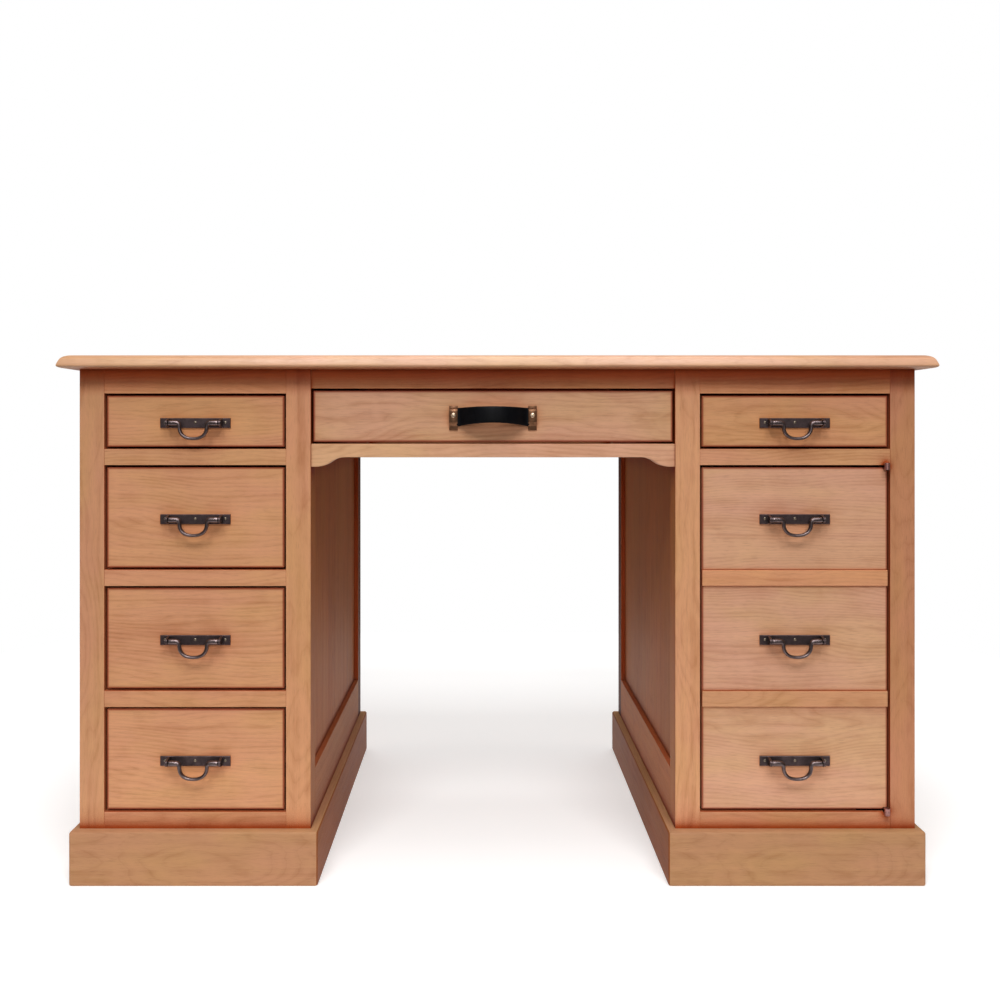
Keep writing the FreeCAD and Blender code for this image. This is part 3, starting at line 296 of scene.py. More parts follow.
def wood(
    name, grain, light, dark, red, rough=0.52, gloss=0.16, plank=0.0, tone=0.5, shade_share=1.0,
    shade_tone=PAINTED_SHADE, reach=0.042, rim=False, kneehole=None, posts=False,
):
    """Solid wood with growth rings, fibres and pores that run along the grain.

    grain is "x", "y" or "z", or a function that gives the share of a point's grain along X
    instead of Y. The object's own "pith" property is a point on the middle line of its rings.
    plank is the width of the glued boards across the grain, or 0 for one board, and tone is how
    far the boards differ. shade_share is how much painted shade of shade_tone lies in corners and
    under overhangs, within reach. With rim, wax and painted shade of the gaps darken the front
    along its edges, which the object's "rim_low" and "rim_high" give. kneehole is the painted
    shade of what faces the kneehole, and with it posts adds painted shade on the rear posts there
    and on the outer ones on the right.
    """
    s = Shader(name)
    place, normal = s.coordinates()
    x, y, _ = s.split(place)
    facing_x, facing_y, _ = s.split(normal)
    local, across = grain_axes(s, grain, place)
    seed = s.add("ShaderNodeNewGeometry").outputs["Random Per Island"]
    if plank:
        board = s.math("FLOOR", s.math("DIVIDE", across, plank))
        seed = s.math("ADD", seed, s.math("MULTIPLY", board, BOARD_STEP))
    scatter = s.add("ShaderNodeTexWhiteNoise", noise_dimensions="1D")
    s.join(seed, scatter.inputs["W"])
    draw = scatter.outputs["Color"]
    spread = s.vector_math("MULTIPLY_ADD", draw, BOARD_SPREAD, BOARD_START)
    moved = s.vector_math("ADD", local, spread)

    # Rings round a wandering pith
    drift = s.noise(moved, DRIFT, output="Color")
    wander = s.vector_math("MULTIPLY_ADD", drift, (0.0, PITH_WANDER, PITH_WANDER), moved)
    radius = s.vector_math("LENGTH", s.vector_math("MULTIPLY", wander, (0.0, 1.0, 1.0)))
    waver = s.noise(moved, WAVER, detail=3)
    rings = s.math("ADD", s.math("MULTIPLY", radius, RINGS_PER_METRE), waver)
    ring = s.ramp(s.math("FRACT", rings), YEAR, "EASE")

    # Figure of the grain
    fibre = s.noise(moved, FIBRE, detail=4, rough=0.6)
    stripe = s.noise(moved, STRIPE)
    curl = s.noise(moved, CURL, distortion=0.6)
    figure = s.weighted((ring, 0.50), (fibre, 0.26), (stripe, 0.56), (curl, 0.36))
    figure = s.math("SUBTRACT", figure, 0.35)
    bright = tuple(c * 1.14 for c in light)
    colour = s.ramp(figure, ((0.15, dark), (0.50, light), (0.85, bright)))
    patch = s.noise(moved, PATCH, detail=3, rough=0.55)
    blush = s.ramp(patch, ((0.42, 0.0), (0.62, 0.8)))
    colour = s.tinted(blush, colour, [r / c for r, c in zip(red, light)])
    ochre = s.ramp(s.noise(moved, CLOUD), ((0.45, 0.0), (0.62, 0.8)))
    colour = s.tinted(ochre, colour, OCHRE)
    colour = s.mix(1.0, colour, own_tone(s, draw, tone), "MULTIPLY")
    pores = s.ramp(s.noise(moved, PORES, detail=1), ((0.30, 0.0), (0.44, 1.0)))
    colour = s.mix(0.4, colour, s.ramp(pores, ((0.0, 0.62), (1.0, 0.98))), "MULTIPLY")

    # Painted shade in corners and under overhangs, and wax with painted shade of the gaps along
    # the edges
    painted_corner_shade = s.ramp(s.openness(reach), PAINTED_SHADE_DEPTH)
    colour = s.tinted(s.math("MULTIPLY", painted_corner_shade, shade_share), colour, shade_tone)
    if rim:
        # Wax, and painted shade of the gaps, darken a front along its edges
        wax_and_gap_shade = s.ramp(way_to_rim(s, place), WAX_AND_GAP_SHADE_EDGE)
        wax_and_gap_shade = s.math("MULTIPLY", wax_and_gap_shade, s.math("LESS_THAN", facing_y, -0.45))
        colour = s.tinted(wax_and_gap_shade, colour, WAX_AND_GAP_SHADE)
    if kneehole:
        # Painted shade on the sides that face the kneehole
        off_middle = s.math("ABSOLUTE", s.math("SUBTRACT", x, kneehole_middle))
        inside = s.math("LESS_THAN", off_middle, kneehole_reach)
        sideways = s.math("GREATER_THAN", s.math("ABSOLUTE", facing_x), 0.6)
        colour = s.tinted(s.math("MULTIPLY", inside, sideways), colour, kneehole)
        if posts:
            # Painted shade on the rear posts' sides in the kneehole, which light hardly reaches
            at_back = s.math("MULTIPLY", inside, s.math("GREATER_THAN", y, rear_post))
            at_back = s.math("MULTIPLY", at_back, s.math("LESS_THAN", facing_y, 0.5))
            colour = s.tinted(at_back, colour, REAR_POST_SHADE)
            # Painted shade on the outer posts on the right, where less light falls
            outer = s.math("GREATER_THAN", x, outer_post)
            colour = s.tinted(outer, colour, OUTER_POST_SHADE)
    s.join(colour, s.surface.inputs["Base Color"])
    sheen = s.math("ADD", s.weighted((fibre, -0.16), (patch, 0.1)), rough + 0.06)
    s.join(sheen, s.surface.inputs["Roughness"])
    relief = s.weighted((pores, 0.6), (fibre, 0.4))
    s.join(s.bump(relief, 0.25, 0.0004), s.surface.inputs["Normal"])
    s.surface.inputs["Specular IOR Level"].default_value = gloss
    return s.material


def rails_grain(side_edge):
    """Rails at the back lie beyond side_edge, and their grain runs along X."""

    def share(s, x, y):
        return s.math("GREATER_THAN", y, side_edge)

    return share


def plinth_grain(node):
    """Front and rear boards run along X, and the mitre divides them from the side boards."""
    low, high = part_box(node)
    middle = (low.x + high.x) / 2
    half_x = (high.x - low.x) / 2 - PLINTH_THICK * MM
    half_y = (high.y - low.y) / 2 - PLINTH_THICK * MM

    def share(s, x, y):
        past_y = s.math("SUBTRACT", s.math("ABSOLUTE", y), half_y)
        past_x = s.math("SUBTRACT", s.math("ABSOLUTE", s.math("SUBTRACT", x, middle)), half_x)
        return s.math("GREATER_THAN", past_y, past_x)

    return share


PLINTH_THICK = 12.0
# From the rear face of the panels to the front of the rails there, and from the rear face of a
# drawer's bottom to the front of its back
REAR_RAIL_DEPTH, DRAWER_BACK_DEPTH = 17.0, 22.5
rear_rails = rails_grain(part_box("left_panels")[1].y - REAR_RAIL_DEPTH * MM)
drawer_backs = rails_grain(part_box("left_drawer_2_bottom")[1].y - DRAWER_BACK_DEPTH * MM)

case = (LIGHT, DARK, RED)
blond = toned((1.07, 1.19, 1.39), *case)
front = {"shade_share": 0.5, "shade_tone": FRONT_PAINTED_SHADE, "reach": 0.035, "rim": True}
along_x = wood("case_wood_x", "x", *case)
along_z = wood("case_wood_z", "z", *case, kneehole=KNEEHOLE_SHADE, posts=True)
front_wood = wood("case_wood_fronts", "x", *case, **front)
blond_front = wood("case_wood_blond_fronts", "x", *blond, **front)
blond_wood = wood("case_wood_blond", "x", *blond, shade_share=0.3, reach=0.03)
# Paler, less red colours than the case's: a painted sheen on the top's edge
top_wood = wood(
    "case_wood_top", "x", *toned((1.03, 1.20, 1.36), *case), rough=0.34, gloss=0.6, plank=0.118,
    shade_share=0.6,
)
panel_wood = wood(
    "case_wood_panel", "z", *case, plank=0.14, tone=0.4, shade_share=0.6, kneehole=KNEEHOLE_SHADE,
)
rail_wood = wood("case_wood_rails", rear_rails, *case, shade_share=0.8, kneehole=KNEEHOLE_SHADE)
plinth_woods = {
    node: wood(
        f"case_wood_{node}", plinth_grain(node), *toned(tone, *case), tone=0.2, shade_share=0.0,
        kneehole=PLINTH_KNEEHOLE_SHADE,
    )
    for node, tone in (
        ("left_plinth", (0.745, 0.785, 0.78)),
        ("right_plinth", (0.70, 0.755, 0.737)),
    )
}
pale = ((0.42, 0.25, 0.13), (0.31, 0.17, 0.085), (0.38, 0.21, 0.115))
inner_y = wood("inner_wood_y", "y", *pale, rough=0.6)
inner_x = wood("inner_wood_x", "x", *pale, rough=0.6, plank=0.13)
inner_box = wood("inner_wood_box", drawer_backs, *pale, rough=0.6)


# Metal and leather

# Width of a rubbed edge and reach of the painted corner shade, in metres
RUBBED_WIDTH, CORNER_SHADE_REACH = 0.0011, 0.012
WEAR = 0.6


def metal(name, base, worn, rough, patina=0.5):
    """Cast metal with a mottled patina, rubbed bright along its edges, with painted shade in
    corners.
    """
    s = Shader(name)
    place, _ = s.coordinates()
    cloud = s.noise(place, 95.0, detail=4, rough=0.6)
    grit = s.noise(place, 900.0, detail=3)
    rounded = s.add("ShaderNodeBevel", samples=6)
    rounded.inputs["Radius"].default_value = RUBBED_WIDTH
    normal = s.add("ShaderNodeNewGeometry").outputs["Normal"]
    flatness = s.vector_math("DOT_PRODUCT", normal, rounded.outputs[0])
    edge = s.ramp(flatness, ((0.80, 1.0), (0.985, 0.0)))
    rubbed = s.math("MULTIPLY", edge, s.ramp(grit, ((0.35, 0.2), (0.65, 1.0))))
    rubbed = s.math("MULTIPLY", rubbed, WEAR)
    deep = tuple(c * (1 - patina) for c in base)
    colour = s.mix(rubbed, s.ramp(cloud, ((0.3, deep), (0.7, base))), worn)
    # Painted shade in the metal's corners, as under the saddle of a clip
    painted_metal_shade = s.ramp(s.openness(CORNER_SHADE_REACH), ((0.25, 0.25), (0.80, 1.0)))
    s.join(s.mix(1.0, colour, painted_metal_shade, "MULTIPLY"), s.surface.inputs["Base Color"])
    s.surface.inputs["Metallic"].default_value = 1.0
    shine = s.ramp(cloud, ((0.3, rough + 0.14), (0.7, rough - 0.04)))
    shine = s.math("SUBTRACT", shine, s.math("MULTIPLY", rubbed, 0.12))
    s.join(shine, s.surface.inputs["Roughness"])
    relief = s.weighted((grit, 1.0), (cloud, 1.5))
    s.join(s.bump(relief, 0.3, 0.0003), s.surface.inputs["Normal"])
    return s.material


def leather(name, base, rough):
    """Smooth black hide with a fine pebbled grain and creases."""
    s = Shader(name)
    place, _ = s.coordinates()
    cells = s.add("ShaderNodeTexVoronoi", feature="DISTANCE_TO_EDGE")
    # In millimetres, which the node divides into five cells each
    s.feed(cells.inputs["Vector"], s.vector_math("MULTIPLY", place, (1 / MM, 1 / MM, 1 / MM)))
    pebble = s.ramp(cells.outputs["Distance"], ((0.0, 0.0), (0.22, 1.0)))
    crease = s.noise(place, (260.0, 260.0, 60.0), detail=3)
    tone = s.noise(place, 60.0, detail=3)
    deep, worn = (tuple(c * share for c in base) for share in (0.6, 1.5))
    s.join(s.ramp(tone, ((0.3, deep), (0.75, worn))), s.surface.inputs["Base Color"])
    shine = s.ramp(crease, ((0.3, rough - 0.08), (0.7, rough + 0.1)))
    s.join(shine, s.surface.inputs["Roughness"])
    relief = s.math("ADD", pebble, crease)
    s.join(s.bump(relief, 0.16, 0.00015), s.surface.inputs["Normal"])
    s.surface.inputs["Specular IOR Level"].default_value = 0.14
    return s.material


bronze = metal("dark_metal", (0.125, 0.090, 0.092), (0.62, 0.50, 0.48), 0.44)
bail_metal = metal("bail_metal", (0.19, 0.145, 0.145), (0.85, 0.74, 0.72), 0.30, patina=0.4)
screw_metal = metal("screw_metal", (0.36, 0.29, 0.22), (0.70, 0.58, 0.45), 0.42)
brass = metal("brass", (0.82, 0.62, 0.44), (0.95, 0.80, 0.62), 0.34, patina=0.25)
clip_metal = metal("clip_metal", (0.29, 0.145, 0.080), (0.75, 0.58, 0.55), 0.42)
hinge_metal = metal("hinge_metal", (0.60, 0.30, 0.27), (0.80, 0.56, 0.52), 0.36)
hide = leather("leather", (0.0015, 0.0015, 0.0025), 0.42)


# Dress of the CAD nodes

# Material, and width of the softened edges in mm
LOOKS = {
    "desktop": (top_wood, 0.8),
    "front_rails": (along_x, 0.4),
    "posts": (along_z, 0.4),
    "frame_rails": (rail_wood, 0.5),
    "panels": (panel_wood, 0.0),
    "left_plinth": (plinth_woods["left_plinth"], 1.0),
    "right_plinth": (plinth_woods["right_plinth"], 1.0),
    "centre_top_rail": (along_x, 0.7),
    "front_apron": (blond_wood, 0.9),
    "rear_apron": (along_x, 0.9),
    "door_leaf": (blond_front, 1.6),
    "door_false_rails": (along_x, 0.8),
    "drawer_front": (front_wood, 1.6),
    "centre_drawer_front": (blond_front, 1.6),
    "runners": (inner_y, 0.5),
    "shelf_cleats": (inner_y, 0.5),
    "cupboard_floor": (inner_x, 0.5),
    "cupboard_shelf": (inner_x, 0.8),
    "drawer_box": (inner_box, 0.8),
    "drawer_bottom": (inner_x, 0.0),
    "plate": (bronze, 0.35),
    "plates": (bronze, 0.35),
    "bail": (bail_metal, 0.3),
    "leaves": (hinge_metal, 0.5),
    "strap_clips": (clip_metal, 0.3),
    "strap_screws": (brass, 0.6),
    "strap_handle": (hide, 1.2),
}
# How far from the middle of a board its pith lies, in metres, by what the node's name holds
PITH = {
    "drawer_front": (0.0, 0.085, 0.02),
    "door_leaf": (0.0, 0.11, -0.05),
    "desktop": (0.0, 0.0, -0.16),
    "panels": (0.0, 0.0, 0.0),
    "plinth": (0.0, 0.3, 0.05),
}
OTHER_PITH = (0.25, 0.32, -0.2)
PITH_CHANCE = 0.03


def look_of(node):
    """The look by the longest key that the node's name starts or ends with, its digits apart."""
    plain = "".join(c for c in node if not c.isdigit()).replace("__", "_")
    found = [key for key in LOOKS if plain.endswith(key) or plain.startswith(key)]
    return LOOKS[max(found, key=len)]


def dress(node, material, bevel):
    """A material, softened edges and even shading. The solid itself stays as it is."""
    o = nodes[node]
    o.data.materials.clear()
    o.data.materials.append(material)
    o.data.polygons.foreach_set("use_smooth", [True] * len(o.data.polygons))
    weld = o.modifiers.new("weld", "WELD")
    weld.merge_threshold = 1e-5
    flat = o.modifiers.new("flat", "DECIMATE")
    flat.decimate_type = "DISSOLVE"
    flat.angle_limit = math.radians(0.4)
    if bevel:
        soft = o.modifiers.new("soft", "BEVEL")
        soft.width = bevel * MM
        soft.segments = 2
        soft.limit_method = "ANGLE"
        soft.angle_limit = math.radians(32)
    even = o.modifiers.new("even", "WEIGHTED_NORMAL")
    even.mode = "FACE_AREA"
    even.weight = 50


chance = random.Random(4)
for node in sorted(nodes):
    dress(node, *look_of(node))
    low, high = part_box(node)
    offset = next((v for key, v in PITH.items() if key in node), OTHER_PITH)
    swing = chance.uniform(-PITH_CHANCE, PITH_CHANCE)
    middle = (low + high) / 2 + Vector(offset) + Vector((swing, swing / 3, swing))
    nodes[node]["pith"] = list(middle)
    nodes[node]["rim_low"], nodes[node]["rim_high"] = list(low), list(high)


# Pieces with more form than their solids. Their numbers are in mm


def new_piece(name, mesh, body, stands_for, place=(0, 0, 0), levels=1):
    """A piece that rides on a body and stands for the named CAD nodes."""
    made = bpy.data.objects.new(name, mesh)
    bpy.context.scene.collection.objects.link(made)
    made.location = place
    if levels:
        smooth = made.modifiers.new("smooth", "SUBSURF")
        smooth.levels = levels
        smooth.render_levels = levels
    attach(made, body)
    if stands_for:
        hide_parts(*stands_for)
    return made


def finished_mesh(name, made, material, sharp=None):
    """The mesh of a bmesh, shaded smooth but for edges steeper than sharp, in degrees."""
    bmesh.ops.recalc_face_normals(made, faces=made.faces)
    for face in made.faces:
        face.smooth = True
    mesh = bpy.data.meshes.new(name)
    made.to_mesh(mesh)
    made.free()
    mesh.materials.append(material)
    if sharp:
        mesh.set_sharp_from_angle(angle=math.radians(sharp))
    return mesh


def band(made, one, two):
    """Quads between two rings of as many points."""
    for k in range(len(one)):
        after = (k + 1) % len(one)
        made.faces.new((one[k], one[after], two[after], two[k]))


def skin(made, rings):
    """Quads from ring to ring, and a face at each end."""
    for one, two in zip(rings, rings[1:]):
        band(made, one, two)
    made.faces.new(list(reversed(rings[0])))
    made.faces.new(rings[-1])


# Top board, with the run of its moulded edge drawn out

# How far inside the outermost line, and how far below the top
TOP_EDGE = (
    (18.0, 0.0), (14.6, 0.3), (11.2, 1.1), (8.5, 2.2), (6.2, 3.6), (4.5, 5.2), (3.3, 7.1),
    (2.3, 9.2), (1.4, 11.3), (0.6, 13.3), (0.1, 15.0), (0.0, 15.8), (0.3, 16.7), (1.2, 17.8),
    (3.0, 18.7), (6.0, 19.4), (11.0, 19.8), (18.0, 19.95), (25.0, 20.0),
)


def top_mesh():
    """The top board, with the same edge on all sides."""
    low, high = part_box("desktop")
    top, under = high.z / MM, low.z / MM
    made = bmesh.new()
    rings = []
    for inset, drop in TOP_EDGE:
        x0, x1 = low.x + inset * MM, high.x - inset * MM
        y0, y1 = low.y + inset * MM, high.y - inset * MM
        z = max(top - drop, under) * MM
        corners = ((x0, y0), (x1, y0), (x1, y1), (x0, y1))
        rings.append([made.verts.new((x, y, z)) for x, y in corners])
    skin(made, rings)
    return finished_mesh("desk_board", made, top_wood, sharp=50)


board = new_piece("desk_board", top_mesh(), "carcass", ["desktop"], levels=0)
board["pith"] = nodes["desktop"]["pith"]


# Plinths, with worn corners

PLINTH_CORNER = 4.5
PLINTH_TURNS = 5


def plinth_mesh(node, material):
    """Four mitred boards in one ring, hollow in the middle."""
    low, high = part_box(node)
    top = (high.z - low.z) / MM
    # How far inside the outermost face, and how high
    section = [
        (3.0, 0.0), (1.1, 0.4), (0.3, 1.3), (0.0, 2.8), (0.0, 20.0), (0.0, 40.0), (0.0, top - 6.6),
        (0.2, top - 5.2), (0.8, top - 4.1), (1.9, top - 3.2), (3.6, top - 2.5), (6.5, top - 1.9),
        (PLINTH_THICK - 0.1, top - 1.6), (PLINTH_THICK, top - 3.0), (PLINTH_THICK, 40.0),
        (PLINTH_THICK, 0.0),
    ]
    made = bmesh.new()
    rings = []
    for inset, up in section:
        radius = max(PLINTH_CORNER - inset, 0.4) * MM
        reach_x = (high.x - low.x) / 2 - inset * MM - radius
        reach_y = (high.y - low.y) / 2 - inset * MM - radius
        ring = []
        for corner, (sign_x, sign_y) in enumerate(((1, 1), (-1, 1), (-1, -1), (1, -1))):
            for i in range(PLINTH_TURNS):
                a = math.radians(90 * corner + 90 * i / (PLINTH_TURNS - 1))
                x = (low.x + high.x) / 2 + sign_x * reach_x + radius * math.cos(a)
                y = (low.y + high.y) / 2 + sign_y * reach_y + radius * math.sin(a)
                ring.append(made.verts.new((x, y, low.z + up * MM)))
        rings.append(ring)
    for one, two in zip(rings, rings[1:] + rings[:1]):
        band(made, one, two)
    return finished_mesh(node + "_boards", made, material, sharp=50)


for node, material in plinth_woods.items():
    mesh = plinth_mesh(node, material)
    worn = new_piece(node + "_boards", mesh, "carcass", [node], levels=0)
    worn["pith"] = nodes[node]["pith"]


# Bails, as cast: a barrel at each ear, drawn out into a rounded loop

LOOP_RADIUS, LOOP_DROP, SQUARENESS = 20.3, 2.8, 0.84
BEND = 4.6
# x from the middle, and radius, of the pin and the barrel
BARREL = (
    (-40.2, 1.9), (-37.2, 1.9), (-36.9, 2.6), (-36.7, 3.7), (-36.0, 4.05), (-34.0, 4.25),
    (-31.0, 4.3), (-28.5, 4.2),
)
# Half thickness in the loop's plane, and half depth
AT_BARREL, AT_ARM, AT_BOTTOM = (4.0, 4.1), (2.95, 3.75), (2.40, 3.60)


def blended(one, two, share):
    """Numbers that go from one to two as share goes from 0 to 1."""
    return tuple(a + (b - a) * share for a, b in zip(one, two))


def bail_mesh():
    """One bail about its pivot, in metres."""
    # x, z, the way along x and z, half thickness and half depth
    arm = [(x, 0.0, 1.0, 0.0, radius, radius) for x, radius in BARREL]
    steps = 6
    for i in range(steps + 1):
        a = math.radians(90 * (1 - i / steps))
        x = BEND * math.cos(a) - LOOP_RADIUS - BEND
        z = BEND * math.sin(a) - BEND
        sizes = blended(AT_BARREL, AT_ARM, i / steps)
        arm.append((x, z, math.sin(a), -math.cos(a), *sizes))
    stations = list(arm)
    depth = LOOP_RADIUS + LOOP_DROP - BEND
    steps = 26
    for i in range(1, steps):
        a = math.pi * i / steps
        c, low_share = math.cos(a), math.sin(a)
        x = -LOOP_RADIUS * math.copysign(abs(c) ** SQUARENESS, c)
        z = -depth * low_share ** SQUARENESS - BEND
        # The way along the loop, which a flatter bottom turns sooner
        way_x = LOOP_RADIUS * low_share ** (2 - SQUARENESS)
        way_z = -depth * math.copysign(abs(c) ** (2 - SQUARENESS), c)
        stations.append((x, z, way_x, way_z, *blended(AT_ARM, AT_BOTTOM, low_share)))
    stations += [(-x, z, way_x, -way_z, a, b) for x, z, way_x, way_z, a, b in reversed(arm)]
    made = bmesh.new()
    sides = 16
    rings = []
    for x, z, way_x, way_z, half, deep in stations:
        length = math.hypot(way_x, way_z)
        out_x, out_z = -way_z / length, way_x / length
        ring = []
        for k in range(sides):
            turn = 2 * math.pi * k / sides
            u, v = half * math.cos(turn), deep * math.sin(turn)
            ring.append(made.verts.new(((x + out_x * u) * MM, v * MM, (z + out_z * u) * MM)))
        rings.append(ring)
    skin(made, rings)
    return finished_mesh("bail", made, bail_metal)


shared_bail = bail_mesh()
joints = {joint["child"]: joint for joint in frame["joints"]}
bails = sorted(body for body in joints if body.endswith("_bail"))
for body in bails:
    new_piece(body + "_cast", shared_bail, body, [body], joints[body]["pos_m"])


# Screws with domed, slotted heads, driven to the back

HEAD_ROWS = (0.36, 0.54, 0.72, 0.88, 0.97)
HEAD_COLUMNS = 9
# Height of a head's rim, as a share of its rise
HEAD_RIM = 0.2
PLATE_SCREW = {"radius": 2.1, "rise": 0.9, "slot_width": 0.7, "slot_depth": 0.5, "foot": 1.2}
# The plate's face behind the bail's pivot, its middle above it, and its screws' places along it
PLATE_BEHIND, PLATE_ABOVE = 10.5, 0.8
PLATE_SCREWS = (("left", -44.4), ("middle", 0.0), ("right", 44.4))


def add_head(made, middle, radius, rise, slot_width, slot_depth, foot):
    """Adds a screw head to a bmesh. The middle of its underside is at middle."""
    half = slot_width / 2
    side = [half] + [radius * share for share in HEAD_ROWS]
    rows = [(-v, False) for v in reversed(side)] + [(-half, True), (half, True)]
    rows += [(v, False) for v in side]
    grid = []
    for v, in_slot in rows:
        half_chord = math.sqrt(radius * radius - v * v)
        row = []
        for i in range(HEAD_COLUMNS):
            u = half_chord * (2 * i / (HEAD_COLUMNS - 1) - 1)
            out = min(1.0, (u * u + v * v) / (radius * radius))
            height = rise * (HEAD_RIM + (1 - HEAD_RIM) * math.sqrt(1 - out))
            if in_slot:
                height = min(height, rise - slot_depth)
            x, y, z = middle
            row.append(made.verts.new(((x + u) * MM, (y - height) * MM, (z + v) * MM)))
        grid.append(row)
    for one, two in zip(grid, grid[1:]):
        for i in range(HEAD_COLUMNS - 1):
            made.faces.new((one[i], one[i + 1], two[i + 1], two[i]))
    # Once round the rim, then down the head's side and on to its foot
    ring = grid[0] + [row[-1] for row in grid[1:]] + grid[-1][-2::-1]
    ring += [row[0] for row in grid[-2:0:-1]]
    for deep in (0.0, foot):
        lower = [made.verts.new((v.co.x, (middle[1] + deep) * MM, v.co.z)) for v in ring]
        band(made, ring, lower)
        ring = lower
    made.faces.new(ring)


made = bmesh.new()
add_head(made, (0, 0, 0), **PLATE_SCREW)
plate_screw = finished_mesh("plate_screw", made, screw_metal, sharp=38)
for body in bails:
    x, y, z = joints[body]["pos_m"]
    holder = joints[body]["parent"]
    for tag, offset in PLATE_SCREWS:
        name = body.replace("bail", "screw_" + tag)
        place = (x + offset * MM, y + PLATE_BEHIND * MM, z + PLATE_ABOVE * MM)
        screw = new_piece(name, plate_screw, holder, [], place, levels=0)
        screw.rotation_euler = (0, chance.uniform(0, math.pi), 0)


# Strap handle: a leather strap bowed out between two clips, with a screw in each

low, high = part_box("strap_handle")
clip_low, clip_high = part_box("strap_clips")
STRAP_X = (low.x + high.x) / 2 / MM
STRAP_Y = high.y / MM
STRAP_Z = (clip_low.z + clip_high.z) / 2 / MM
CLIP_FACE = clip_low.y / MM
CLIP_WIDTH = 12.5
# Half the way from clip to clip, the straight end in a clip, how far the bow stands out, and the
# outer radius of the bends at its feet
SPAN_HALF, STRAP_TAB, STRAP_RISE, STRAP_FOOT = 52.3, 11.0, 21.0, 14.0
STRAP_HALF_THICK = 2.3
# Upper and lower edge: the height at a clip, and what is added in the bow and within a clip
STRAP_EDGES = ((15.0, 2.0, -3.5), (-12.2, 4.9, 5.0))
# Half the width over which the edges bow, and the way over which they draw in at a clip
STRAP_BOW_HALF, STRAP_TUCK = 50.0, 3.0
STRAP_SOFT = 1.3
STRAP_PUFF = 0.3
STRAP_SCREW = {"radius": 3.8, "rise": 2.2, "slot_width": 0.9, "slot_depth": 0.5, "foot": 6.0}
STRAP_SCREW_X, STRAP_SCREW_Z = 58.55, 4.0


def strap_line():
    """Points along the middle of the strap, seen from above, each with its turn."""
    t = STRAP_HALF_THICK
    sum_of_squares = SPAN_HALF * SPAN_HALF + STRAP_RISE * STRAP_RISE
    turn = math.asin(2 * SPAN_HALF * STRAP_RISE / sum_of_squares)
    big = sum_of_squares / (2 * STRAP_RISE) - STRAP_FOOT
    small = STRAP_FOOT - t
    tab_steps, foot_steps, bow_steps = 6, 8, 30
    left_half = []
    for i in range(tab_steps):
        left_half.append((-SPAN_HALF - STRAP_TAB * (1 - i / tab_steps), -t, 0.0))
    for i in range(foot_steps + 1):
        a = turn * i / foot_steps
        x, y = -SPAN_HALF + small * math.sin(a), small * math.cos(a) - STRAP_FOOT
        left_half.append((x, y, a))
    bow = []
    for i in range(1, bow_steps):
        a = turn * (1 - 2 * i / bow_steps)
        x, y = -(big + t) * math.sin(a), big - STRAP_RISE - (big + t) * math.cos(a)
        bow.append((x, y, a))
    return left_half + bow + [(-x, y, -a) for x, y, a in reversed(left_half)]


def strap_mesh():
    """The strap, slimmer where its clips hold it and a little plump in the bow."""
    made = bmesh.new()
    rings = []
    t, soft = STRAP_HALF_THICK, STRAP_SOFT
    for x, y, a in strap_line():
        bow = max(0.0, 1 - (x / STRAP_BOW_HALF) ** 2)
        tuck = max(0.0, min(1.0, (abs(x) - SPAN_HALF) / STRAP_TUCK))
        top, bottom = (
            height + in_bow * bow + in_clip * tuck for height, in_bow, in_clip in STRAP_EDGES
        )
        middle, rise = (top + bottom) / 2, (top - bottom) / 2
        puff = STRAP_PUFF * bow
        upper = [
            (-t - puff, 0.35 * rise),
            (-t - 0.7 * puff, 0.75 * rise),
            (-t, rise - soft),
            (-t + 0.3 * soft, rise - 0.3 * soft),
            (-t + soft, rise),
            (t - soft, rise),
            (t - 0.3 * soft, rise - 0.3 * soft),
            (t, rise - soft),
            (t, 0.35 * rise),
        ]
        lower = [(u, -v) for u, v in reversed(upper)]
        ring = []
        for u, v in upper + lower:
            point_x = STRAP_X + x + u * math.sin(a)
            point_y = STRAP_Y + y + u * math.cos(a)
            point_z = STRAP_Z + middle + v
            ring.append(made.verts.new((point_x * MM, point_y * MM, point_z * MM)))
        rings.append(ring)
    skin(made, rings)
    return finished_mesh("strap", made, hide)


# Section of a clip: how far before the drawer front, and how high, from the lower foot up the
# front and down the back
CLIP_FRONT = (
    (0.0, -18.0), (1.5, -18.0), (1.8, -17.7), (1.8, -12.6), (2.3, -11.8), (3.6, -10.2),
    (5.4, -7.4), (6.4, -5.9), (6.6, -5.0), (6.6, 9.4), (6.4, 10.6), (5.6, 12.2), (4.4, 13.6),
    (2.8, 14.8), (2.0, 15.4), (1.8, 16.0), (1.8, 17.7), (1.5, 18.0), (0.0, 18.0),
)
CLIP_BACK = (
    (0.0, 14.6), (2.6, 13.0), (4.2, 11.2), (4.8, 9.2), (4.8, -4.6), (3.6, -7.2), (1.8, -9.8),
    (0.0, -11.0),
)
CLIP_SOFT = 0.4


def clip_mesh():
    """Both clips: a strip bent over the strap, with a long foot below and a short one above."""
    made = bmesh.new()
    for side in (-1, 1):
        near, far = sorted((side * SPAN_HALF, side * (SPAN_HALF + CLIP_WIDTH)))
        rings = []
        for x, shrink in (
            (near, CLIP_SOFT), (near + CLIP_SOFT, 0.0), (far - CLIP_SOFT, 0.0), (far, CLIP_SOFT),
        ):
            line = [(max(out - shrink, 0.0), z) for out, z in CLIP_FRONT] + list(CLIP_BACK)
            ring = []
            for out, z in line:
                point = (STRAP_X + x, STRAP_Y - out, STRAP_Z + z)
                ring.append(made.verts.new([v * MM for v in point]))
            rings.append(ring)
        skin(made, rings)
    return finished_mesh("strap_clips_bent", made, clip_metal, sharp=50)


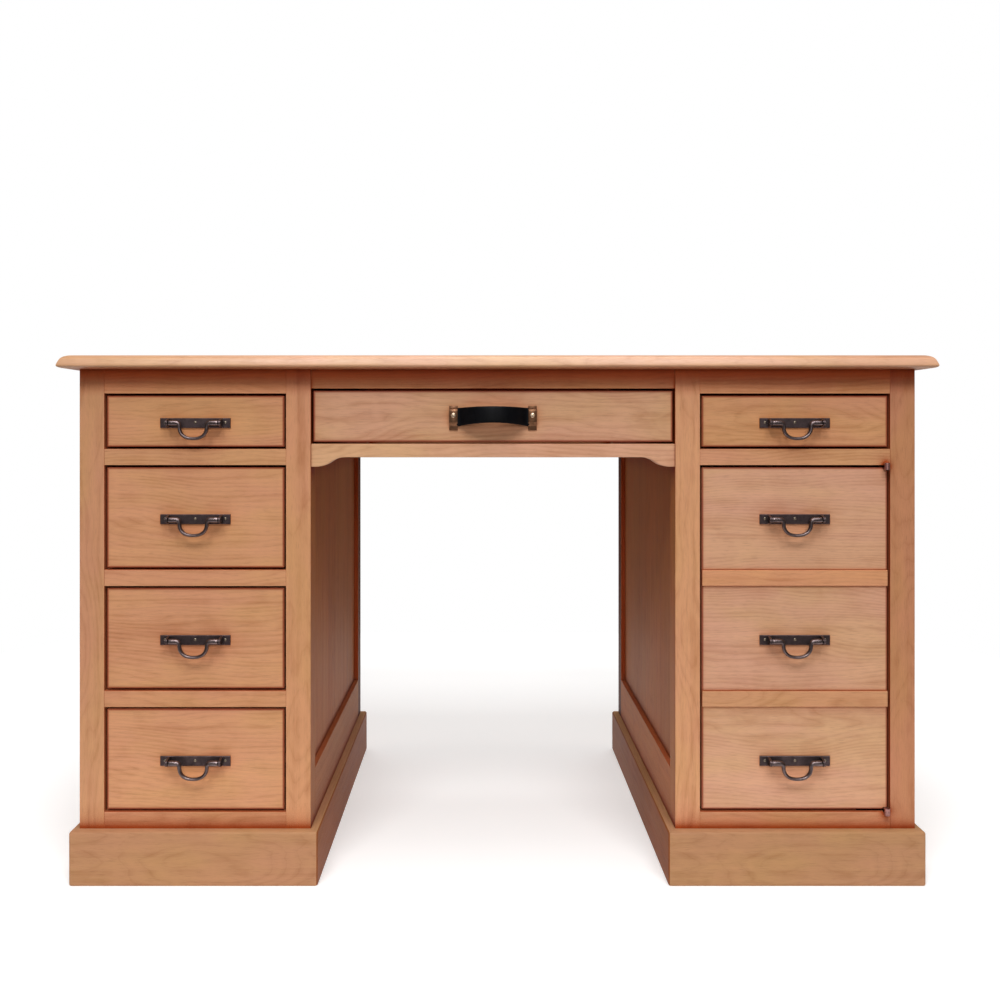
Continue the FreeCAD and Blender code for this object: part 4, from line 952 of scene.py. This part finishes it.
new_piece("strap_clips_bent", clip_mesh(), "centre_drawer", ["strap_clips"], levels=0)
new_piece("strap_leather", strap_mesh(), "centre_drawer", ["strap_handle"])
made = bmesh.new()
for side in (-1, 1):
    place = (STRAP_X + side * STRAP_SCREW_X, CLIP_FACE, STRAP_Z + STRAP_SCREW_Z)
    add_head(made, place, **STRAP_SCREW)
brass_heads = finished_mesh("strap_screw_heads", made, brass, sharp=38)
new_piece("strap_screw_heads", brass_heads, "centre_drawer", ["strap_screws"], levels=0)


# Studio

FLOOR_WIDTH, FLOOR_FRONT, FLOOR_BACK, FLOOR_CORNER = 3.0, -0.75, 1.5, 0.5
FLOOR_GLOW = 0.36
SKY_COLOUR, SKY_STRENGTH = (1.0, 0.95, 0.90, 1), 0.13
WHITE = (1, 1, 1, 1)
# Name, place, what it points at, width, height and power
LIGHTS = (
    ("key_left", (-0.95, -2.8, 3.8), (0.1, -0.3, 0.45), 1.0, 1.0, 57),
    ("key_right", (0.95, -2.8, 3.8), (-0.1, -0.3, 0.45), 1.0, 1.0, 51),
    ("steep", (0.0, -1.1, 3.6), (0.0, -0.5, 0.0), 2.0, 1.2, 42),
    ("fill", (0.0, -3.4, 1.5), (0.0, -0.3, 0.5), 1.6, 1.0, 22),
    ("above", (0.0, 1.2, 3.4), (0.0, 0.9, 0.0), 3.0, 2.0, 60),
)
# The camera is level, 1.44 m before the desk's front edge
EYE = (-0.024, -1.768, 0.670)
FOCAL_LENGTH, SHIFT_X, SHIFT_Y = 35.64, 0.019, -0.070


def floor_material():
    s = Shader("studio_floor")
    place, _ = s.coordinates()
    tone = s.noise(place, 3.0, detail=3)
    s.join(s.ramp(tone, ((0.3, 0.79), (0.7, 0.81))), s.surface.inputs["Base Color"])
    s.surface.inputs["Emission Color"].default_value = WHITE
    s.surface.inputs["Emission Strength"].default_value = FLOOR_GLOW
    s.surface.inputs["Roughness"].default_value = 0.9
    s.surface.inputs["Specular IOR Level"].default_value = 0.2
    return s.material


def studio_floor():
    """A pale sheet on the ground, its corners cut round."""
    made = bmesh.new()
    middle = (FLOOR_FRONT + FLOOR_BACK) / 2
    straight_x = FLOOR_WIDTH / 2 - FLOOR_CORNER
    straight_y = (FLOOR_BACK - FLOOR_FRONT) / 2 - FLOOR_CORNER
    rim = []
    for turn in range(3, 360, 6):
        a = math.radians(turn)
        x = math.copysign(straight_x, math.cos(a)) + FLOOR_CORNER * math.cos(a)
        y = middle + math.copysign(straight_y, math.sin(a)) + FLOOR_CORNER * math.sin(a)
        rim.append(made.verts.new((x, y, 0)))
    made.faces.new(rim)
    mesh = finished_mesh("studio_floor", made, floor_material())
    floor = bpy.data.objects.new("studio_floor", mesh)
    bpy.context.scene.collection.objects.link(floor)


def studio_sky():
    """A weak warm light from all sides, and plain white where the camera looks past the floor."""
    world = bpy.data.worlds.new("studio")
    bpy.context.scene.world = world
    world.use_nodes = True
    sky = world.node_tree
    soft = sky.nodes["Background"]
    soft.inputs["Color"].default_value = SKY_COLOUR
    soft.inputs["Strength"].default_value = SKY_STRENGTH
    plain = sky.nodes.new("ShaderNodeBackground")
    plain.inputs["Color"].default_value = WHITE
    plain.inputs["Strength"].default_value = 1.0
    path = sky.nodes.new("ShaderNodeLightPath")
    blend = sky.nodes.new("ShaderNodeMixShader")
    sky.links.new(path.outputs["Is Camera Ray"], blend.inputs[0])
    sky.links.new(soft.outputs[0], blend.inputs[1])
    sky.links.new(plain.outputs[0], blend.inputs[2])
    sky.links.new(blend.outputs[0], sky.nodes["World Output"].inputs["Surface"])


def soft_light(name, place, target, width, height, power):
    light = bpy.data.lights.new(name, "AREA")
    light.shape = "RECTANGLE"
    light.size = width
    light.size_y = height
    light.energy = power
    made = bpy.data.objects.new(name, light)
    bpy.context.scene.collection.objects.link(made)
    made.location = place
    made.rotation_euler = (Vector(target) - Vector(place)).to_track_quat("-Z", "Y").to_euler()


studio_floor()
studio_sky()
for light in LIGHTS:
    soft_light(*light)

bpy.context.scene.view_settings.view_transform = "Standard"

lens = bpy.data.cameras.new("camera")
lens.sensor_width = 36
lens.lens = FOCAL_LENGTH
lens.shift_x = SHIFT_X
lens.shift_y = SHIFT_Y
lens.clip_start = 0.05
camera = bpy.data.objects.new("camera", lens)
bpy.context.scene.collection.objects.link(camera)
camera.location = EYE
camera.rotation_euler = (math.radians(90), 0, 0)
bpy.context.scene.camera = camera

bpy.context.view_layer.update()
